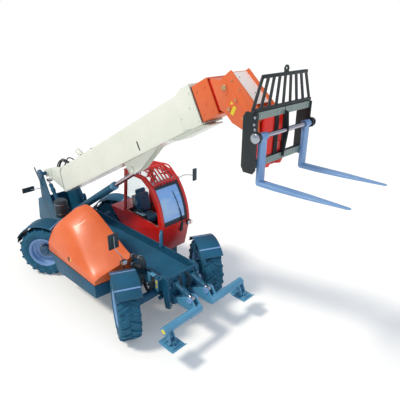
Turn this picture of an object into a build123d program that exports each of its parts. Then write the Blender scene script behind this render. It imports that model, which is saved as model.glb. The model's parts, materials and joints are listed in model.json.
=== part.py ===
from build123d import *
import os
from math import atan2, cos, degrees, hypot, radians, sin, sqrt

os.makedirs("parts", exist_ok=True)

# Telehandler, millimetres. Origin on the ground at the middle of the machine,
# +X towards the forks, +Y to its left, +Z up. Wheels are steered and the boom is raised.

# Running gear
FRONT_AXLE_X = 530
WHEELBASE = 3080
REAR_AXLE_X = FRONT_AXLE_X - WHEELBASE
HALF_TRACK = 1025
TYRE_RADIUS = 597
TYRE_WIDTH = 410
BEAD_RADIUS = 312
FLANGE_RADIUS = 345
KINGPIN_OFFSET = 120
KINGPIN_Y = HALF_TRACK - KINGPIN_OFFSET
FRONT_STEER = -26.7
REAR_STEER = 35.6
FENDER_GAP = 50
FENDER_WALL = 10

# Frame
FRAME_HALF = 400
SADDLE_Z = TYRE_RADIUS + 103
ARCH_Z = TYRE_RADIUS + 163
PLATE = 20
FRAME_INSIDE = FRAME_HALF - PLATE
RAIL_TOP = 1080
FLOOR_Z = TYRE_RADIUS + 303
FRONT_PLATE_X = 900

# Boom
PIVOT_X, PIVOT_Z = -3600, 1960
BOOM_ANGLE = 28
OUTER_WIDTH = 440
OUTER_TOP, OUTER_BOTTOM = -75, -625
OUTER_START, OUTER_END = 560, 5570
OUTER_WALL = 12
SECTION_GAP = 14
SLEEVE = 12
COLLAR = 350

# Pins and clearances
PIN_GAP = 0.3
PANEL_GAP = 8
PIVOT_PIN = 45
LIFT_PIN = 35

# Lift cylinder: foot pin on the frame, eye under the boom
LIFT_FOOT = (-3000, 1000)
LIFT_EYE = (-287.2, 2758.8)
LIFT_BOSS = (3300, -795)
LIFT_BARREL = 80
LIFT_ROD = 44

# Compensation cylinders beside the boom heel
COMP_FOOT = (-3020, 1340)
COMP_EYE = (-3400, 1850)
COMP_BARREL = 42
COMP_ROD = 24
COMP_Y = OUTER_WIDTH / 2 + 95

# Stabilizers
STAB_PIVOT = (1030, 620)
STAB_TUBE = (1530, 660)
STAB_TUBE_RADIUS = 75
STAB_PAD_PIN = (1655, 470)
STAB_FOOT = (975, 930)
STAB_EYE = (1400, 820)
STAB_BARREL = 45
STAB_ROD = 26
STAB_PLATE_Y = (140, 280)
STAB_TUBE_END = 1020
STAB_LEG_Y = (880, 990)
STAB_PLATE = 16

# Pod on the right: tray below, hood above
POD_IN = -FRAME_HALF - 40
POD_OUT = POD_IN - 760
POD_REAR, POD_FRONT = REAR_AXLE_X + 910, -210
HOOD_TAIL = REAR_AXLE_X + 620
POD_FRONT_SWEEP = 90
POD_FRONT_LEAN = 0.25
POD_WALL = 25
TRAY_BOTTOM = 480
SEAM_REAR, SEAM_FRONT = 850, 790
CLEANER = (REAR_AXLE_X + 200, -FRAME_HALF - 200)
HOOD_HINGE = (HOOD_TAIL - 45, 1300)
HOOD_HINGE_Y = (-480, -640)

# Cab on the left
CAB_IN = FRAME_HALF + 5
CAB_OUT = CAB_IN + 785
CAB_WALL = 45
GLASS = 8

# Forks and carriage
FORK_HEEL = (2870, 3540)
FORK_LENGTH = 1190
FORK_THICK = 50
FORK_WIDTH = 125
FORK_SPACING = 990
SHAFT_Z = 4113
SHAFT_X = 2870
SHAFT_RADIUS = 32
EYE_RADIUS = 50
SHAFT_HALF = 640
HEAD_PIN = (2500, 4090)
HEAD_HALF = 200


def slab(points, y_low, y_high, radius=0):
    """A plate or block: an outline of (x, z) points given a thickness along Y."""
    corners = [(x, y_low, z) for x, z in points]
    if radius:
        wire = FilletPolyline(*corners, radius=radius, close=True)
    else:
        wire = Polyline(*corners, close=True)
    return extrude(make_face(wire), amount=y_high - y_low, dir=(0, 1, 0))


def block(x_low, x_high, y_low, y_high, z_low, z_high):
    middle = Pos((x_low + x_high) / 2, (y_low + y_high) / 2, (z_low + z_high) / 2)
    return middle * Box(x_high - x_low, y_high - y_low, z_high - z_low)


def disc(centre, y_low, y_high, radius):
    """A round bar along Y through the point (x, z)."""
    x, z = centre
    return Pos(x, (y_low + y_high) / 2, z) * Rot(X=90) * Cylinder(radius, y_high - y_low)


def bar(start, end, radius):
    """A round bar from one (x, y, z) point to another."""
    start, end = Vector(start), Vector(end)
    section = Plane(origin=start, z_dir=end - start) * Circle(radius)
    return extrude(section, amount=(end - start).length)


def tube(points, radius, bend):
    """A round bar along runs joined by arcs."""
    path = FilletPolyline(*points, radius=bend)
    return sweep(Plane(origin=path @ 0, z_dir=path % 0) * Circle(radius), path=path)


def on_boom(shape):
    """Places what is drawn along the boom: x runs out from the pivot, z is across it."""
    return Pos(PIVOT_X, 0, PIVOT_Z) * Rot(Y=-BOOM_ANGLE) * shape


def from_boom(s, t):
    a = radians(BOOM_ANGLE)
    return PIVOT_X + s * cos(a) - t * sin(a), PIVOT_Z + s * sin(a) + t * cos(a)


def to_boom(point):
    a = radians(BOOM_ANGLE)
    x, z = point[0] - PIVOT_X, point[1] - PIVOT_Z
    return x * cos(a) + z * sin(a), z * cos(a) - x * sin(a)


def both_sides(shape):
    return shape + mirror(shape, about=Plane.XZ)


def cylinder_pair(foot, eye, y, barrel_radius, rod_radius, pin, closed, eye_radius, piston):
    """A hydraulic cylinder along foot to eye at the given y: its barrel, and its rod from the piston on."""
    length = hypot(eye[0] - foot[0], eye[1] - foot[1])
    tilt = degrees(atan2(eye[1] - foot[1], eye[0] - foot[0]))
    barrel_end = closed
    half = barrel_radius * 0.75
    barrel = bar_x(barrel_radius * 0.6, barrel_end, barrel_radius)
    barrel += bar_x(barrel_end - 60, barrel_end, barrel_radius + 4)
    barrel += disc((0, 0), -half, half, barrel_radius * 0.9)
    barrel -= disc((0, 0), -half, half, pin + PIN_GAP)
    barrel -= bar_x(barrel_radius * 1.6, barrel_end, rod_radius + PIN_GAP)
    rod = bar_x(piston, length - eye_radius * 0.8, rod_radius)
    rod += disc((length, 0), -half, half, eye_radius)
    place = Pos(foot[0], y, foot[1]) * Rot(Y=-tilt)
    return place * barrel, place * rod


def bar_x(start, end, radius):
    return Pos((start + end) / 2, 0, 0) * Rot(Y=90) * Cylinder(radius, end - start)


# Frame ----------------------------------------------------------------------

def frame():
    side = [(-4060, 640), (-3960, 1215), (-3740, 1330), (-3720, 1960), (-3480, 1960),
            (-3190, 1300), (-2980, RAIL_TOP + 20), (760, RAIL_TOP), (860, 1110), (960, 1060),
            (1000, 470), (880, 430), (FRONT_AXLE_X + 280, ARCH_Z), (FRONT_AXLE_X - 280, ARCH_Z),
            (FRONT_AXLE_X - 380, 540), (REAR_AXLE_X + 470, 540), (REAR_AXLE_X + 300, ARCH_Z),
            (REAR_AXLE_X - 300, ARCH_Z), (REAR_AXLE_X - 430, 640)]
    plates = slab(side, FRAME_INSIDE, FRAME_HALF)
    plates += disc((PIVOT_X, PIVOT_Z), FRAME_INSIDE, FRAME_HALF + 25, 120)
    shape = both_sides(plates)
    shape += disc((PIVOT_X, PIVOT_Z), -FRAME_HALF, FRAME_HALF, PIVOT_PIN)
    shape += slab([(-4060, 640), (-4035, 640), (-3935, 1215), (-3960, 1215)],
                  -FRAME_INSIDE, FRAME_INSIDE)
    shape += block(-4050, -2980, -FRAME_INSIDE, FRAME_INSIDE, 640, 665)
    shape += block(-3150, 860, -FRAME_INSIDE, FRAME_INSIDE, FLOOR_Z - PLATE, FLOOR_Z)
    shape += block(-3170, -3150, -FRAME_INSIDE, FRAME_INSIDE, 640, FLOOR_Z)
    shape += block(FRONT_PLATE_X, FRONT_PLATE_X + PLATE, -FRAME_INSIDE, FRAME_INSIDE, 460, 1080)
    shape += block(-2000, 100, -FRAME_INSIDE, FRAME_INSIDE, 540, 560)
    foot_ear = slab([(LIFT_FOOT[0] - 110, FLOOR_Z), (LIFT_FOOT[0] - 50, LIFT_FOOT[1] + 60),
                     (LIFT_FOOT[0] + 50, LIFT_FOOT[1] + 60), (LIFT_FOOT[0] + 110, FLOOR_Z)], 84, 109)
    shape += both_sides(foot_ear)
    shape += disc(LIFT_FOOT, -109, 109, LIFT_PIN)
    x, z = COMP_FOOT
    comp_ear = slab([(x - 60, z - 60), (x + 60, z - 60), (x + 20, z + 50), (x - 40, z + 50)],
                    COMP_Y + 48, FRAME_HALF)
    comp_ear += disc(COMP_FOOT, COMP_Y - 34, COMP_Y + 50, 24)
    comp_ear += slab([(x - 70, 1200), (x + 30, 1200), (x + 60, z - 58), (x - 60, z - 58)],
                     FRAME_INSIDE, FRAME_HALF)
    shape += both_sides(comp_ear)
    x, z = STAB_PIVOT
    inboard, outboard = STAB_PLATE_Y
    for low, high in ((inboard - 26, inboard - 8), (outboard + 8, outboard + 26)):
        shape += both_sides(slab([(FRONT_PLATE_X, z - 110), (x + 10, z - 60), (x + 55, z), (x + 10, z + 70),
                                  (FRONT_PLATE_X, z + 130)], low, high))
    shape += both_sides(disc(STAB_PIVOT, inboard - 26, outboard + 26, 30))
    x, z = STAB_FOOT
    middle = (inboard + outboard) / 2
    for low, high in ((middle - 70, middle - 54), (middle + 54, middle + 70)):
        shape += both_sides(slab([(FRONT_PLATE_X, z - 80), (x, z - 45), (x + 40, z), (x, z + 45),
                                  (FRONT_PLATE_X, z + 80)], low, high))
    shape += both_sides(disc(STAB_FOOT, middle - 70, middle + 70, 20))
    for axle_x in (FRONT_AXLE_X, REAR_AXLE_X):
        shape += both_sides(block(axle_x - 110, axle_x + 110, 230, FRAME_INSIDE, SADDLE_Z, FLOOR_Z - 10))
    post = slab([(900, 440), (985, 460), (965, 1000), (930, 1060), (900, 1060)], FRAME_HALF - 75, FRAME_HALF)
    shape += both_sides(post)
    shape += both_sides(block(760, 900, FRAME_HALF - 70, FRAME_HALF, RAIL_TOP - 20, RAIL_TOP + 15))
    shape += block(-140, -55, FRAME_INSIDE, FRAME_HALF, RAIL_TOP - 20, 1420)
    shape += block(-30, 60, -FRAME_HALF, -FRAME_INSIDE, RAIL_TOP - 20, 1190)
    shape += block(700, 830, -FRAME_HALF - 90, -FRAME_INSIDE, 1060, 1080)
    shape -= block(745, 790, -FRAME_HALF - 80, -FRAME_HALF - 10, 1050, 1090)
    shape += block(-4110, -4040, -60, 60, 660, 690) + block(-4110, -4018, -60, 60, 790, 820)
    shape -= Pos(-4078, 0, 740) * Cylinder(16, 400)
    return shape


def axle(axle_x):
    beam = disc((axle_x, TYRE_RADIUS), -KINGPIN_Y + 60, KINGPIN_Y - 60, 80)
    beam += disc((axle_x, TYRE_RADIUS), -70, 70, 160)
    beam += disc((axle_x, TYRE_RADIUS), -130, 130, 125)
    beam += both_sides(block(axle_x - 110, axle_x + 110, 230, FRAME_INSIDE, TYRE_RADIUS, SADDLE_Z - 0.5))
    beam += disc((axle_x + 205, TYRE_RADIUS), -420, 420, 38)
    beam += both_sides(block(axle_x + 40, axle_x + 205, 250, 330, TYRE_RADIUS - 26, TYRE_RADIUS + 26))
    for side in (-1, 1):
        beam += Pos(axle_x, side * KINGPIN_Y, TYRE_RADIUS) * Cylinder(70, 190)
        beam -= Pos(axle_x, side * KINGPIN_Y, TYRE_RADIUS) * Cylinder(35 + PIN_GAP, 190)
    return beam


def steered(shape, axle_x, side, angle):
    """Turns a part drawn for a straight left wheel at the origin about its kingpin."""
    if side < 0:
        shape = mirror(shape, about=Plane.XZ)
    kingpin = Pos(axle_x, side * KINGPIN_Y, TYRE_RADIUS)
    return kingpin * Rot(Z=angle) * Pos(0, side * KINGPIN_OFFSET, 0) * shape


def arc_band(inner, outer, start, end, y_low, y_high):
    """A band round the wheel's axis between two angles, measured up from straight ahead."""
    spread = []
    for radius, angle in ((inner, start), (outer, start), (outer, end), (inner, end)):
        spread.append((radius * cos(radians(angle)), radius * sin(radians(angle))))
    middle = radians((start + end) / 2)
    top_out = (outer * cos(middle), outer * sin(middle))
    top_in = (inner * cos(middle), inner * sin(middle))
    a, b, c, d = [(x, y_low, z) for x, z in spread]
    wire = [Line(a, b), ThreePointArc(b, (top_out[0], y_low, top_out[1]), c), Line(c, d),
            ThreePointArc(d, (top_in[0], y_low, top_in[1]), a)]
    return extrude(make_face(wire), amount=y_high - y_low, dir=(0, 1, 0))


def knuckle(start, end):
    """Swivel casting, spindle and the fender it carries, for a left wheel at the origin."""
    pin_y = -KINGPIN_OFFSET
    shape = Pos(0, pin_y, 0) * Cylinder(35, 260)
    for z in (-122, 122):
        shape += Pos(0, pin_y, z) * Cylinder(75, 44)
        shape += block(-75, 75, pin_y, -20, z - 22, z + 22)
    shape += block(-85, 85, -48, -18, -144, 144)
    shape += disc((0, 0), -40, 70, 60)
    bracket_y = -(TYRE_WIDTH / 2 + 45)
    shape += block(-60, 60, bracket_y, pin_y, 124, 144)
    inner = TYRE_RADIUS + FENDER_GAP
    shape += block(-45, 45, bracket_y, bracket_y + 16, 124, inner + FENDER_WALL / 2)
    shape += arc_band(inner, inner + FENDER_WALL, start, end, bracket_y, TYRE_WIDTH / 2 + 5)
    return shape


def rim():
    """Wheel disc and hub for a left wheel at the origin, outside towards +Y."""
    half = TYRE_WIDTH / 2 - 20
    outline = [(-half, FLANGE_RADIUS), (-half + 12, FLANGE_RADIUS), (-half + 16, 312), (-96, 305),
               (-80, 262), (60, 262), (84, 305), (half - 16, 312), (half - 12, FLANGE_RADIUS),
               (half, FLANGE_RADIUS), (half, 330), (half - 6, 298), (92, 291), (66, 248), (50, 246),
               (44, 170), (30, 150), (112, 135), (112, 100), (150, 90), (150, 0), (85, 0),
               (85, 60 + PIN_GAP), (-8, 60 + PIN_GAP), (-8, 140), (12, 160), (26, 180), (32, 246),
               (-86, 248), (-102, 291), (-half + 6, 298), (-half, 330)]
    face = make_face(Polyline(*[(0, y, r) for y, r in outline], close=True))
    return revolve(face, axis=Axis.Y)


CARCASS = (
    # y, radius
    (-167, 354), (-200, 425), (-200, TYRE_RADIUS - 85), (-160, TYRE_RADIUS - 34),
    (160, TYRE_RADIUS - 34), (200, TYRE_RADIUS - 85), (200, 425), (167, 354),
)
FACETS = 36
LUGS = 18
LUG_HALF = 65


def tyre():
    """Carcass of flat facets with slanted lugs, for a left wheel at the origin."""
    def ring(y, radius):
        return Plane(origin=(0, y, 0), z_dir=(0, 1, 0)) * RegularPolygon(radius, FACETS)

    shape = loft([ring(y, radius) for y, radius in CARCASS], ruled=True)
    shape -= extrude(ring(0, BEAD_RADIUS + 3.5), amount=TYRE_WIDTH, both=True)
    top = sqrt(TYRE_RADIUS ** 2 - LUG_HALF ** 2)
    corner = degrees(atan2(LUG_HALF, top))
    for side in (-1, 1):
        outline = [(-LUG_HALF, 198), (-LUG_HALF + 55, 198), (LUG_HALF, -8), (LUG_HALF - 40, -8)]
        face = make_face(Polyline(*[(x, side * y, TYRE_RADIUS - 50) for x, y in outline], close=True))
        lug = extrude(face, amount=top - TYRE_RADIUS + 50, dir=(0, 0, 1))
        for i in range(LUGS):
            turn = 180 + corner + (i + (1 - side) / 4) * 360 / LUGS
            shape += Rot(Y=turn) * lug
    return shape


def box_section(start, end, width, top, bottom, wall):
    outer = block(start, end, -width / 2, width / 2, bottom, top)
    inner = block(start, end, -width / 2 + wall, width / 2 - wall, bottom + wall, top - wall)
    return outer - inner


def boom_outer():
    shape = box_section(OUTER_START, OUTER_END, OUTER_WIDTH, OUTER_TOP, OUTER_BOTTOM, OUTER_WALL)
    shape += block(OUTER_START, OUTER_START + 20, -OUTER_WIDTH / 2, OUTER_WIDTH / 2, OUTER_BOTTOM, OUTER_TOP)
    half = OUTER_WIDTH / 2
    heel = slab([(-70, -60), (-40, 75), (60, 90), (480, 30), (OUTER_START + 260, OUTER_TOP - 1),
                 (OUTER_START + 120, OUTER_TOP - 60), (OUTER_START + 5, OUTER_BOTTOM + 60),
                 (OUTER_START - 60, OUTER_BOTTOM + 130), (60, -110)], half - 11, half + 18)
    heel += disc((0, 0), half - 11, half + 42, 95)
    shape += both_sides(heel)
    shape -= disc((0, 0), -300, 300, PIVOT_PIN + PIN_GAP)
    es, et = to_boom(COMP_EYE)
    horn = slab([(60, -130), (90, 60), (300, 40), (es + 90, et), (es, et - 60)], half + 17, half + 35)
    horn += disc((es, et), half + 17, half + 50, 50)
    shape += both_sides(horn)
    ls, lt = LIFT_BOSS
    cheek = slab([(ls - 190, OUTER_BOTTOM + 1), (ls - 120, lt - 60), (ls + 60, lt - 85), (ls + 260, lt - 60),
                  (ls + 950, OUTER_BOTTOM + 1)], 70, 90)
    cheek += disc((ls, lt), 89, 108, 60)
    shape += both_sides(cheek)
    flare = slab([(OUTER_END - 420, OUTER_TOP - 40), (OUTER_END - 210, OUTER_TOP + 45),
                  (OUTER_END, OUTER_TOP + 45), (OUTER_END, OUTER_BOTTOM - SLEEVE),
                  (OUTER_END - 210, OUTER_BOTTOM - SLEEVE), (OUTER_END - 420, OUTER_BOTTOM + 30)],
                 half - 1, half + SLEEVE)
    shape += both_sides(flare)
    shape += block(OUTER_END - 210, OUTER_END, -half, half, OUTER_TOP - 1, OUTER_TOP + 45)
    shape += block(OUTER_END - 210, OUTER_END, -half, half, OUTER_BOTTOM - SLEEVE, OUTER_BOTTOM + 1)
    shape += bar((1500, -60, 115), (1643, -60, OUTER_TOP + 20), 42)
    shape += slab([(OUTER_END - 900, OUTER_BOTTOM + 1), (OUTER_END - 700, OUTER_BOTTOM - 70),
                   (OUTER_END + 60, OUTER_BOTTOM - 70), (OUTER_END + 60, OUTER_BOTTOM - 50),
                   (OUTER_END - 90, OUTER_BOTTOM - SLEEVE + 1), (OUTER_END - 90, OUTER_BOTTOM + 1)],
                  -150, 150)
    return on_boom(shape)


MID_WIDTH = OUTER_WIDTH - 2 * (OUTER_WALL + SECTION_GAP)
MID_TOP = OUTER_TOP - OUTER_WALL - SECTION_GAP
MID_BOTTOM = OUTER_BOTTOM + OUTER_WALL + SECTION_GAP
MID_WALL = 10
INNER_WIDTH = MID_WIDTH - 2 * (MID_WALL + SECTION_GAP)
INNER_TOP = MID_TOP - MID_WALL - SECTION_GAP
INNER_BOTTOM = MID_BOTTOM + MID_WALL + SECTION_GAP
PAD_THICK = SECTION_GAP - 1


def pads(start, end, half_width, top, bottom):
    """Slide blocks on a section's outside, filling the gap to the section round it."""
    shape = block(start, end, -half_width + 30, half_width - 30, top - 2, top + PAD_THICK)
    shape += block(start, end, -half_width + 30, half_width - 30, bottom - PAD_THICK, bottom + 2)
    for side in (-1, 1):
        faces = sorted((side * (half_width - 2), side * (half_width + PAD_THICK)))
        shape += block(start, end, *faces, bottom + 60, top - 60)
    return shape


def boom_mid():
    start, end = OUTER_START + 80, OUTER_END + COLLAR
    shape = box_section(start, end, MID_WIDTH, MID_TOP, MID_BOTTOM, MID_WALL)
    shape += pads(start, start + 200, MID_WIDTH / 2, MID_TOP, MID_BOTTOM)
    collar = box_section(OUTER_END + 8, end, OUTER_WIDTH - 20, OUTER_TOP - 10, OUTER_BOTTOM + 10, 60)
    hollow = block(OUTER_END + 8, end, -MID_WIDTH / 2 + 1, MID_WIDTH / 2 - 1, MID_BOTTOM + 1, MID_TOP - 1)
    shape += collar - hollow
    return on_boom(shape)


HEAD_START = OUTER_END + COLLAR + 8


def boom_inner():
    shape = box_section(OUTER_START + 120, HEAD_START + 40, INNER_WIDTH, INNER_TOP, INNER_BOTTOM, MID_WALL)
    shape += pads(OUTER_START + 120, OUTER_START + 320, INNER_WIDTH / 2, INNER_TOP, INNER_BOTTOM)
    return on_boom(shape)


def head():
    a, b = from_boom(HEAD_START + 40, INNER_TOP + 5), from_boom(HEAD_START + 40, INNER_BOTTOM - 5)
    outline = [a, (1900, 4640), (2050, 4760), (2560, 4310), (2585, 4240), (2600, 4060), (2520, 3980),
               (2150, 4110), (2020, 4226), b]
    shape = slab(outline, -HEAD_HALF, HEAD_HALF)
    shape -= slab([(2250, 4560), (2700, 4270), (2700, 3900), (2250, 3960)], -HEAD_HALF + 25, HEAD_HALF - 25)
    for centre, radius in (((1990, 4560), 45), ((2090, 4290), 30), ((2200, 4420), 22), (HEAD_PIN, 70)):
        shape += both_sides(disc(centre, HEAD_HALF - 1, HEAD_HALF + 12, radius))
    shape += disc(HEAD_PIN, -HEAD_HALF - 20, HEAD_HALF + 20, 35)
    edge = slab([(2050, 4762), (2090, 4790), (2600, 4330), (2585, 4240), (2560, 4310)],
                HEAD_HALF - 22, HEAD_HALF)
    return shape + both_sides(edge)


# Forks --------------------------------------------------------------------------

CARRIAGE_BACK, CARRIAGE_FRONT = 2775, 2835


def carriage():
    """Fork frame: two deep end plates, two beams, two uprights and the plate that steadies the shaft."""
    back, front = CARRIAGE_BACK, CARRIAGE_FRONT
    outline = [(2690, 4400), (front + 25, 4400), (front + 25, 3700), (front - 10, 3650), (2690, 3650),
               (2650, 3720), (2650, 4340)]
    shape = both_sides(slab(outline, 590, 615))
    for low, high in ((4310, 4400), (3720, 3810)):
        shape += block(back, front, -600, 600, low, high)
    shape += both_sides(block(back, SHAFT_X - EYE_RADIUS - 25, 55, 125, 3790, 4330))
    shape += slab([(front - 1, 3760), (front - 1, 4360), (SHAFT_X + 20, 4340), (SHAFT_X + 45, SHAFT_Z),
                   (SHAFT_X, 3760)], -6, 6)
    end_ear = [(front - 1, SHAFT_Z - 80), (front - 1, SHAFT_Z + 80), (SHAFT_X + 50, SHAFT_Z + 50),
               (SHAFT_X + 50, SHAFT_Z - 50)]
    shape += both_sides(slab(end_ear, SHAFT_HALF - 50, SHAFT_HALF - 20))
    return shape - disc((SHAFT_X, SHAFT_Z), -SHAFT_HALF, SHAFT_HALF, SHAFT_RADIUS)


def coupler():
    """Hitch between head and fork frame: two ears round the head's pin, tied by three plates."""
    x, z = HEAD_PIN
    reach = CARRIAGE_BACK - x
    y_low, y_high = HEAD_HALF - 75, HEAD_HALF - 45
    ear = slab([(x - 60, z + 60), (x + 60, z + 80), (x + reach, z + 300), (x + reach, z - 390),
                (x + 240, z - 480), (x + 180, z - 500), (x + 40, z - 490), (x + 50, z - 236),
                (x - 45, z - 80)], y_low, y_high)
    ear += disc(HEAD_PIN, y_low, y_high, 82)
    shape = both_sides(ear)
    shape += block(x + reach - 20, x + reach, -y_high, y_high, z + 215, z + 300)
    shape += block(x + reach - 20, x + reach, -y_high, y_high, z - 390, z - 150)
    tie = [(x + 60, z - 480), (x + 180, z - 490), (x + 180, z - 470), (x + 60, z - 460)]
    shape += slab(tie, -y_low, y_low)
    return shape - disc(HEAD_PIN, -HEAD_HALF, HEAD_HALF, 35 + PIN_GAP)


def guard():
    x_low, x_high = CARRIAGE_BACK + 10, CARRIAGE_FRONT - 10
    low_half, high_half, top = 640, 480, 4810
    shape = block(x_low, x_high, -low_half, low_half, 4400, 4440)
    shape += block(x_low, x_high, -high_half, high_half, top - 40, top)
    count = 9
    for i in range(count):
        low = (i / (count - 1) * 2 - 1) * (low_half - 10)
        high = low * high_half / low_half
        run = Vector(0, high - low, top - 4440)
        leg = Plane(origin=(x_low + 12, low, 4420), z_dir=run, x_dir=(1, 0, 0)) * Rectangle(12, 52)
        shape += extrude(leg, amount=run.length, dir=run.normalized())
    middle = (x_low + x_high) / 2
    shape += block(middle - 10, middle + 10, -40, 40, top - 5, top + 25)
    eye = Pos(middle, 0, top + 40) * Rot(Y=90) * Cylinder(45, 20)
    return shape + eye - Pos(middle, 0, top + 45) * Rot(Y=90) * Cylinder(22, 40)


def fork_shaft():
    shape = disc((SHAFT_X, SHAFT_Z), -SHAFT_HALF, SHAFT_HALF, SHAFT_RADIUS)
    for side in (-1, 1):
        y = side * SHAFT_HALF
        shape += disc((SHAFT_X, SHAFT_Z), min(y, y + side * 20), max(y, y + side * 20), 60)
    return shape


def fork(side):
    """One fork: hooked eye on the shaft, shank, round heel and a blade that narrows to its tip."""
    x, z = FORK_HEEL
    half = FORK_THICK / 2
    y = side * FORK_SPACING / 2
    wide = FORK_WIDTH / 2
    outline = [(x - half, z - 45), (x - half, SHAFT_Z), (x + half, SHAFT_Z), (x + half, z + 5),
               (x + FORK_LENGTH, z + 5), (x + FORK_LENGTH, z - 7), (x + 250, z - 45)]
    shape = slab(outline, y - wide, y + wide)
    heel = shape.edges().filter_by(Axis.Y).filter_by_position(Axis.Z, z - 46, z - 44).sort_by(Axis.X)[0]
    shape = fillet(heel, 40)
    plan = [(x - 60, y - wide), (x + 0.55 * FORK_LENGTH, y - wide), (x + FORK_LENGTH - 30, y - wide + 32),
            (x + FORK_LENGTH, y - wide + 50), (x + FORK_LENGTH, y + wide - 50),
            (x + FORK_LENGTH - 30, y + wide - 32), (x + 0.55 * FORK_LENGTH, y + wide), (x - 60, y + wide)]
    shape = shape & extrude(make_face(Polyline(*[(a, b, z - 100) for a, b in plan], close=True)), amount=800)
    shape += disc((SHAFT_X, SHAFT_Z), y - wide, y + wide, EYE_RADIUS)
    return shape - disc((SHAFT_X, SHAFT_Z), y - FORK_WIDTH, y + FORK_WIDTH, SHAFT_RADIUS + PIN_GAP)


# Stabilizers ----------------------------------------------------------------------

def stabilizer_arm():
    """Left arm: two plates, the cross tube and the leg that carries the pad."""
    px, pz = STAB_PIVOT
    tx, tz = STAB_TUBE
    ex, ez = STAB_EYE
    y_low, y_high = STAB_PLATE_Y
    outline = [(px - 40, pz - 40), (px - 40, pz + 40), (ex - 60, ez + 45), (ex + 40, ez + 50),
               (tx + 60, tz + 40), (tx + 50, tz - 60), (tx - 50, tz - 85)]
    shape = slab(outline, y_low, y_low + STAB_PLATE) + slab(outline, y_high - STAB_PLATE, y_high)
    shape += disc(STAB_PIVOT, y_low, y_high, 60)
    shape += disc(STAB_TUBE, y_low, STAB_TUBE_END, STAB_TUBE_RADIUS)
    shape -= disc(STAB_PIVOT, y_low - 1, y_high + 1, 30 + PIN_GAP)
    cx, cz = STAB_PAD_PIN
    leg = [(tx - 60, tz + 40), (tx + 70, tz + 30), (cx + 34, cz + 10), (cx + 20, cz - 22),
           (cx - 20, cz - 22), (cx - 34, cz + 10), (tx - 40, tz - 60)]
    for y in STAB_LEG_Y:
        shape += slab(leg, y - STAB_PLATE / 2, y + STAB_PLATE / 2)
    shape += disc(STAB_PAD_PIN, STAB_LEG_Y[0] - 14, STAB_LEG_Y[1] + 14, 20)
    return shape


def stabilizer_pad():
    x, z = STAB_PAD_PIN
    y = sum(STAB_LEG_Y) / 2
    base = z - 50
    sole = [(x - 195, base + 40), (x - 155, base), (x + 155, base), (x + 195, base + 40),
            (x + 187, base + 48), (x + 150, base + 12), (x - 150, base + 12), (x - 187, base + 48)]
    shape = slab(sole, y - 150, y + 150)
    for low, high in ((y - 30, y - 14), (y + 14, y + 30)):
        shape += block(x - 60, x + 60, low, high, base, z + 30)
    shape -= disc(STAB_PAD_PIN, y - 60, y + 60, 20 + PIN_GAP)
    return shape


# Pod --------------------------------------------------------------------------------

HOOD_SECTIONS = (
    # x at the outer side, side top z, shoulder (y, z), crown (y, z), inner top z
    (HOOD_TAIL, 1050, (POD_OUT + 140, 1330), (POD_IN - 160, 1500), 1500),
    (POD_REAR, 1120, (POD_OUT + 190, 1560), (POD_IN - 160, 1770), 1785),
    (-920, 1040, (POD_OUT + 150, 1330), (POD_IN - 180, 1640), 1680),
    (POD_FRONT, 910, (POD_OUT + 80, 965), (POD_IN - 220, 1110), 1210),
)


def seam(x):
    """Height of the joint between tray and hood, which falls towards the front."""
    share = (x - POD_REAR) / (POD_FRONT - POD_REAR)
    return SEAM_REAR + share * (SEAM_FRONT - SEAM_REAR)


def front_face(y, z):
    """X of the pod's front, which runs forward inboard and leans forward upwards."""
    share = (y - POD_OUT) / (POD_IN - POD_OUT)
    return POD_FRONT + share * POD_FRONT_SWEEP + max(0, z - SEAM_FRONT) * POD_FRONT_LEAN


def hood_solid(inset):
    """The hood drawn in by its wall, as one smooth loft with softened shoulder and crown lines."""
    faces = []
    last = len(HOOD_SECTIONS) - 1
    for i, (x, side_z, shoulder, crown, top_z) in enumerate(HOOD_SECTIONS):
        low = seam(x) + PANEL_GAP - (40 if inset else 0)
        outline = [(POD_OUT + inset, low), (POD_OUT + inset, side_z - inset / 3)]
        outline += softened(outline[1], (shoulder[0] + inset * 0.7, shoulder[1] - inset * 0.7),
                            (crown[0], crown[1] - inset))
        outline += [(crown[0], crown[1] - inset), (POD_IN - inset, top_z - inset), (POD_IN - inset, low)]
        if i == 0:
            points = [(x + inset, y, z) for y, z in outline]
        elif i == last:
            points = [(front_face(y, z + 200) - 50 - inset, y, z) for y, z in outline]
        else:
            points = [(x, y, z) for y, z in outline]
        faces.append(make_face(Polyline(*points, close=True)))
    return loft(faces)


def softened(before, corner, after):
    """Three points in place of a corner, along the arc that rounds it."""
    share = 0.22
    start = [corner[k] + share * (before[k] - corner[k]) for k in (0, 1)]
    end = [corner[k] + share * (after[k] - corner[k]) for k in (0, 1)]
    middle = [(start[k] + end[k]) / 4 + corner[k] / 2 for k in (0, 1)]
    return [tuple(start), tuple(middle), tuple(end)]


def hood():
    shape = hood_solid(0) - hood_solid(POD_WALL)
    x, z = HOOD_HINGE
    for y in HOOD_HINGE_Y:
        lug = [(x - 30, z - 30), (x - 30, z + 30), (x + 60, z + 50), (x + 60, z - 50)]
        shape += slab(lug, y - 10, y + 10)
    for y in HOOD_HINGE_Y:
        shape -= disc(HOOD_HINGE, y - 11, y + 11, 12 + PIN_GAP)
    return shape


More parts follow.
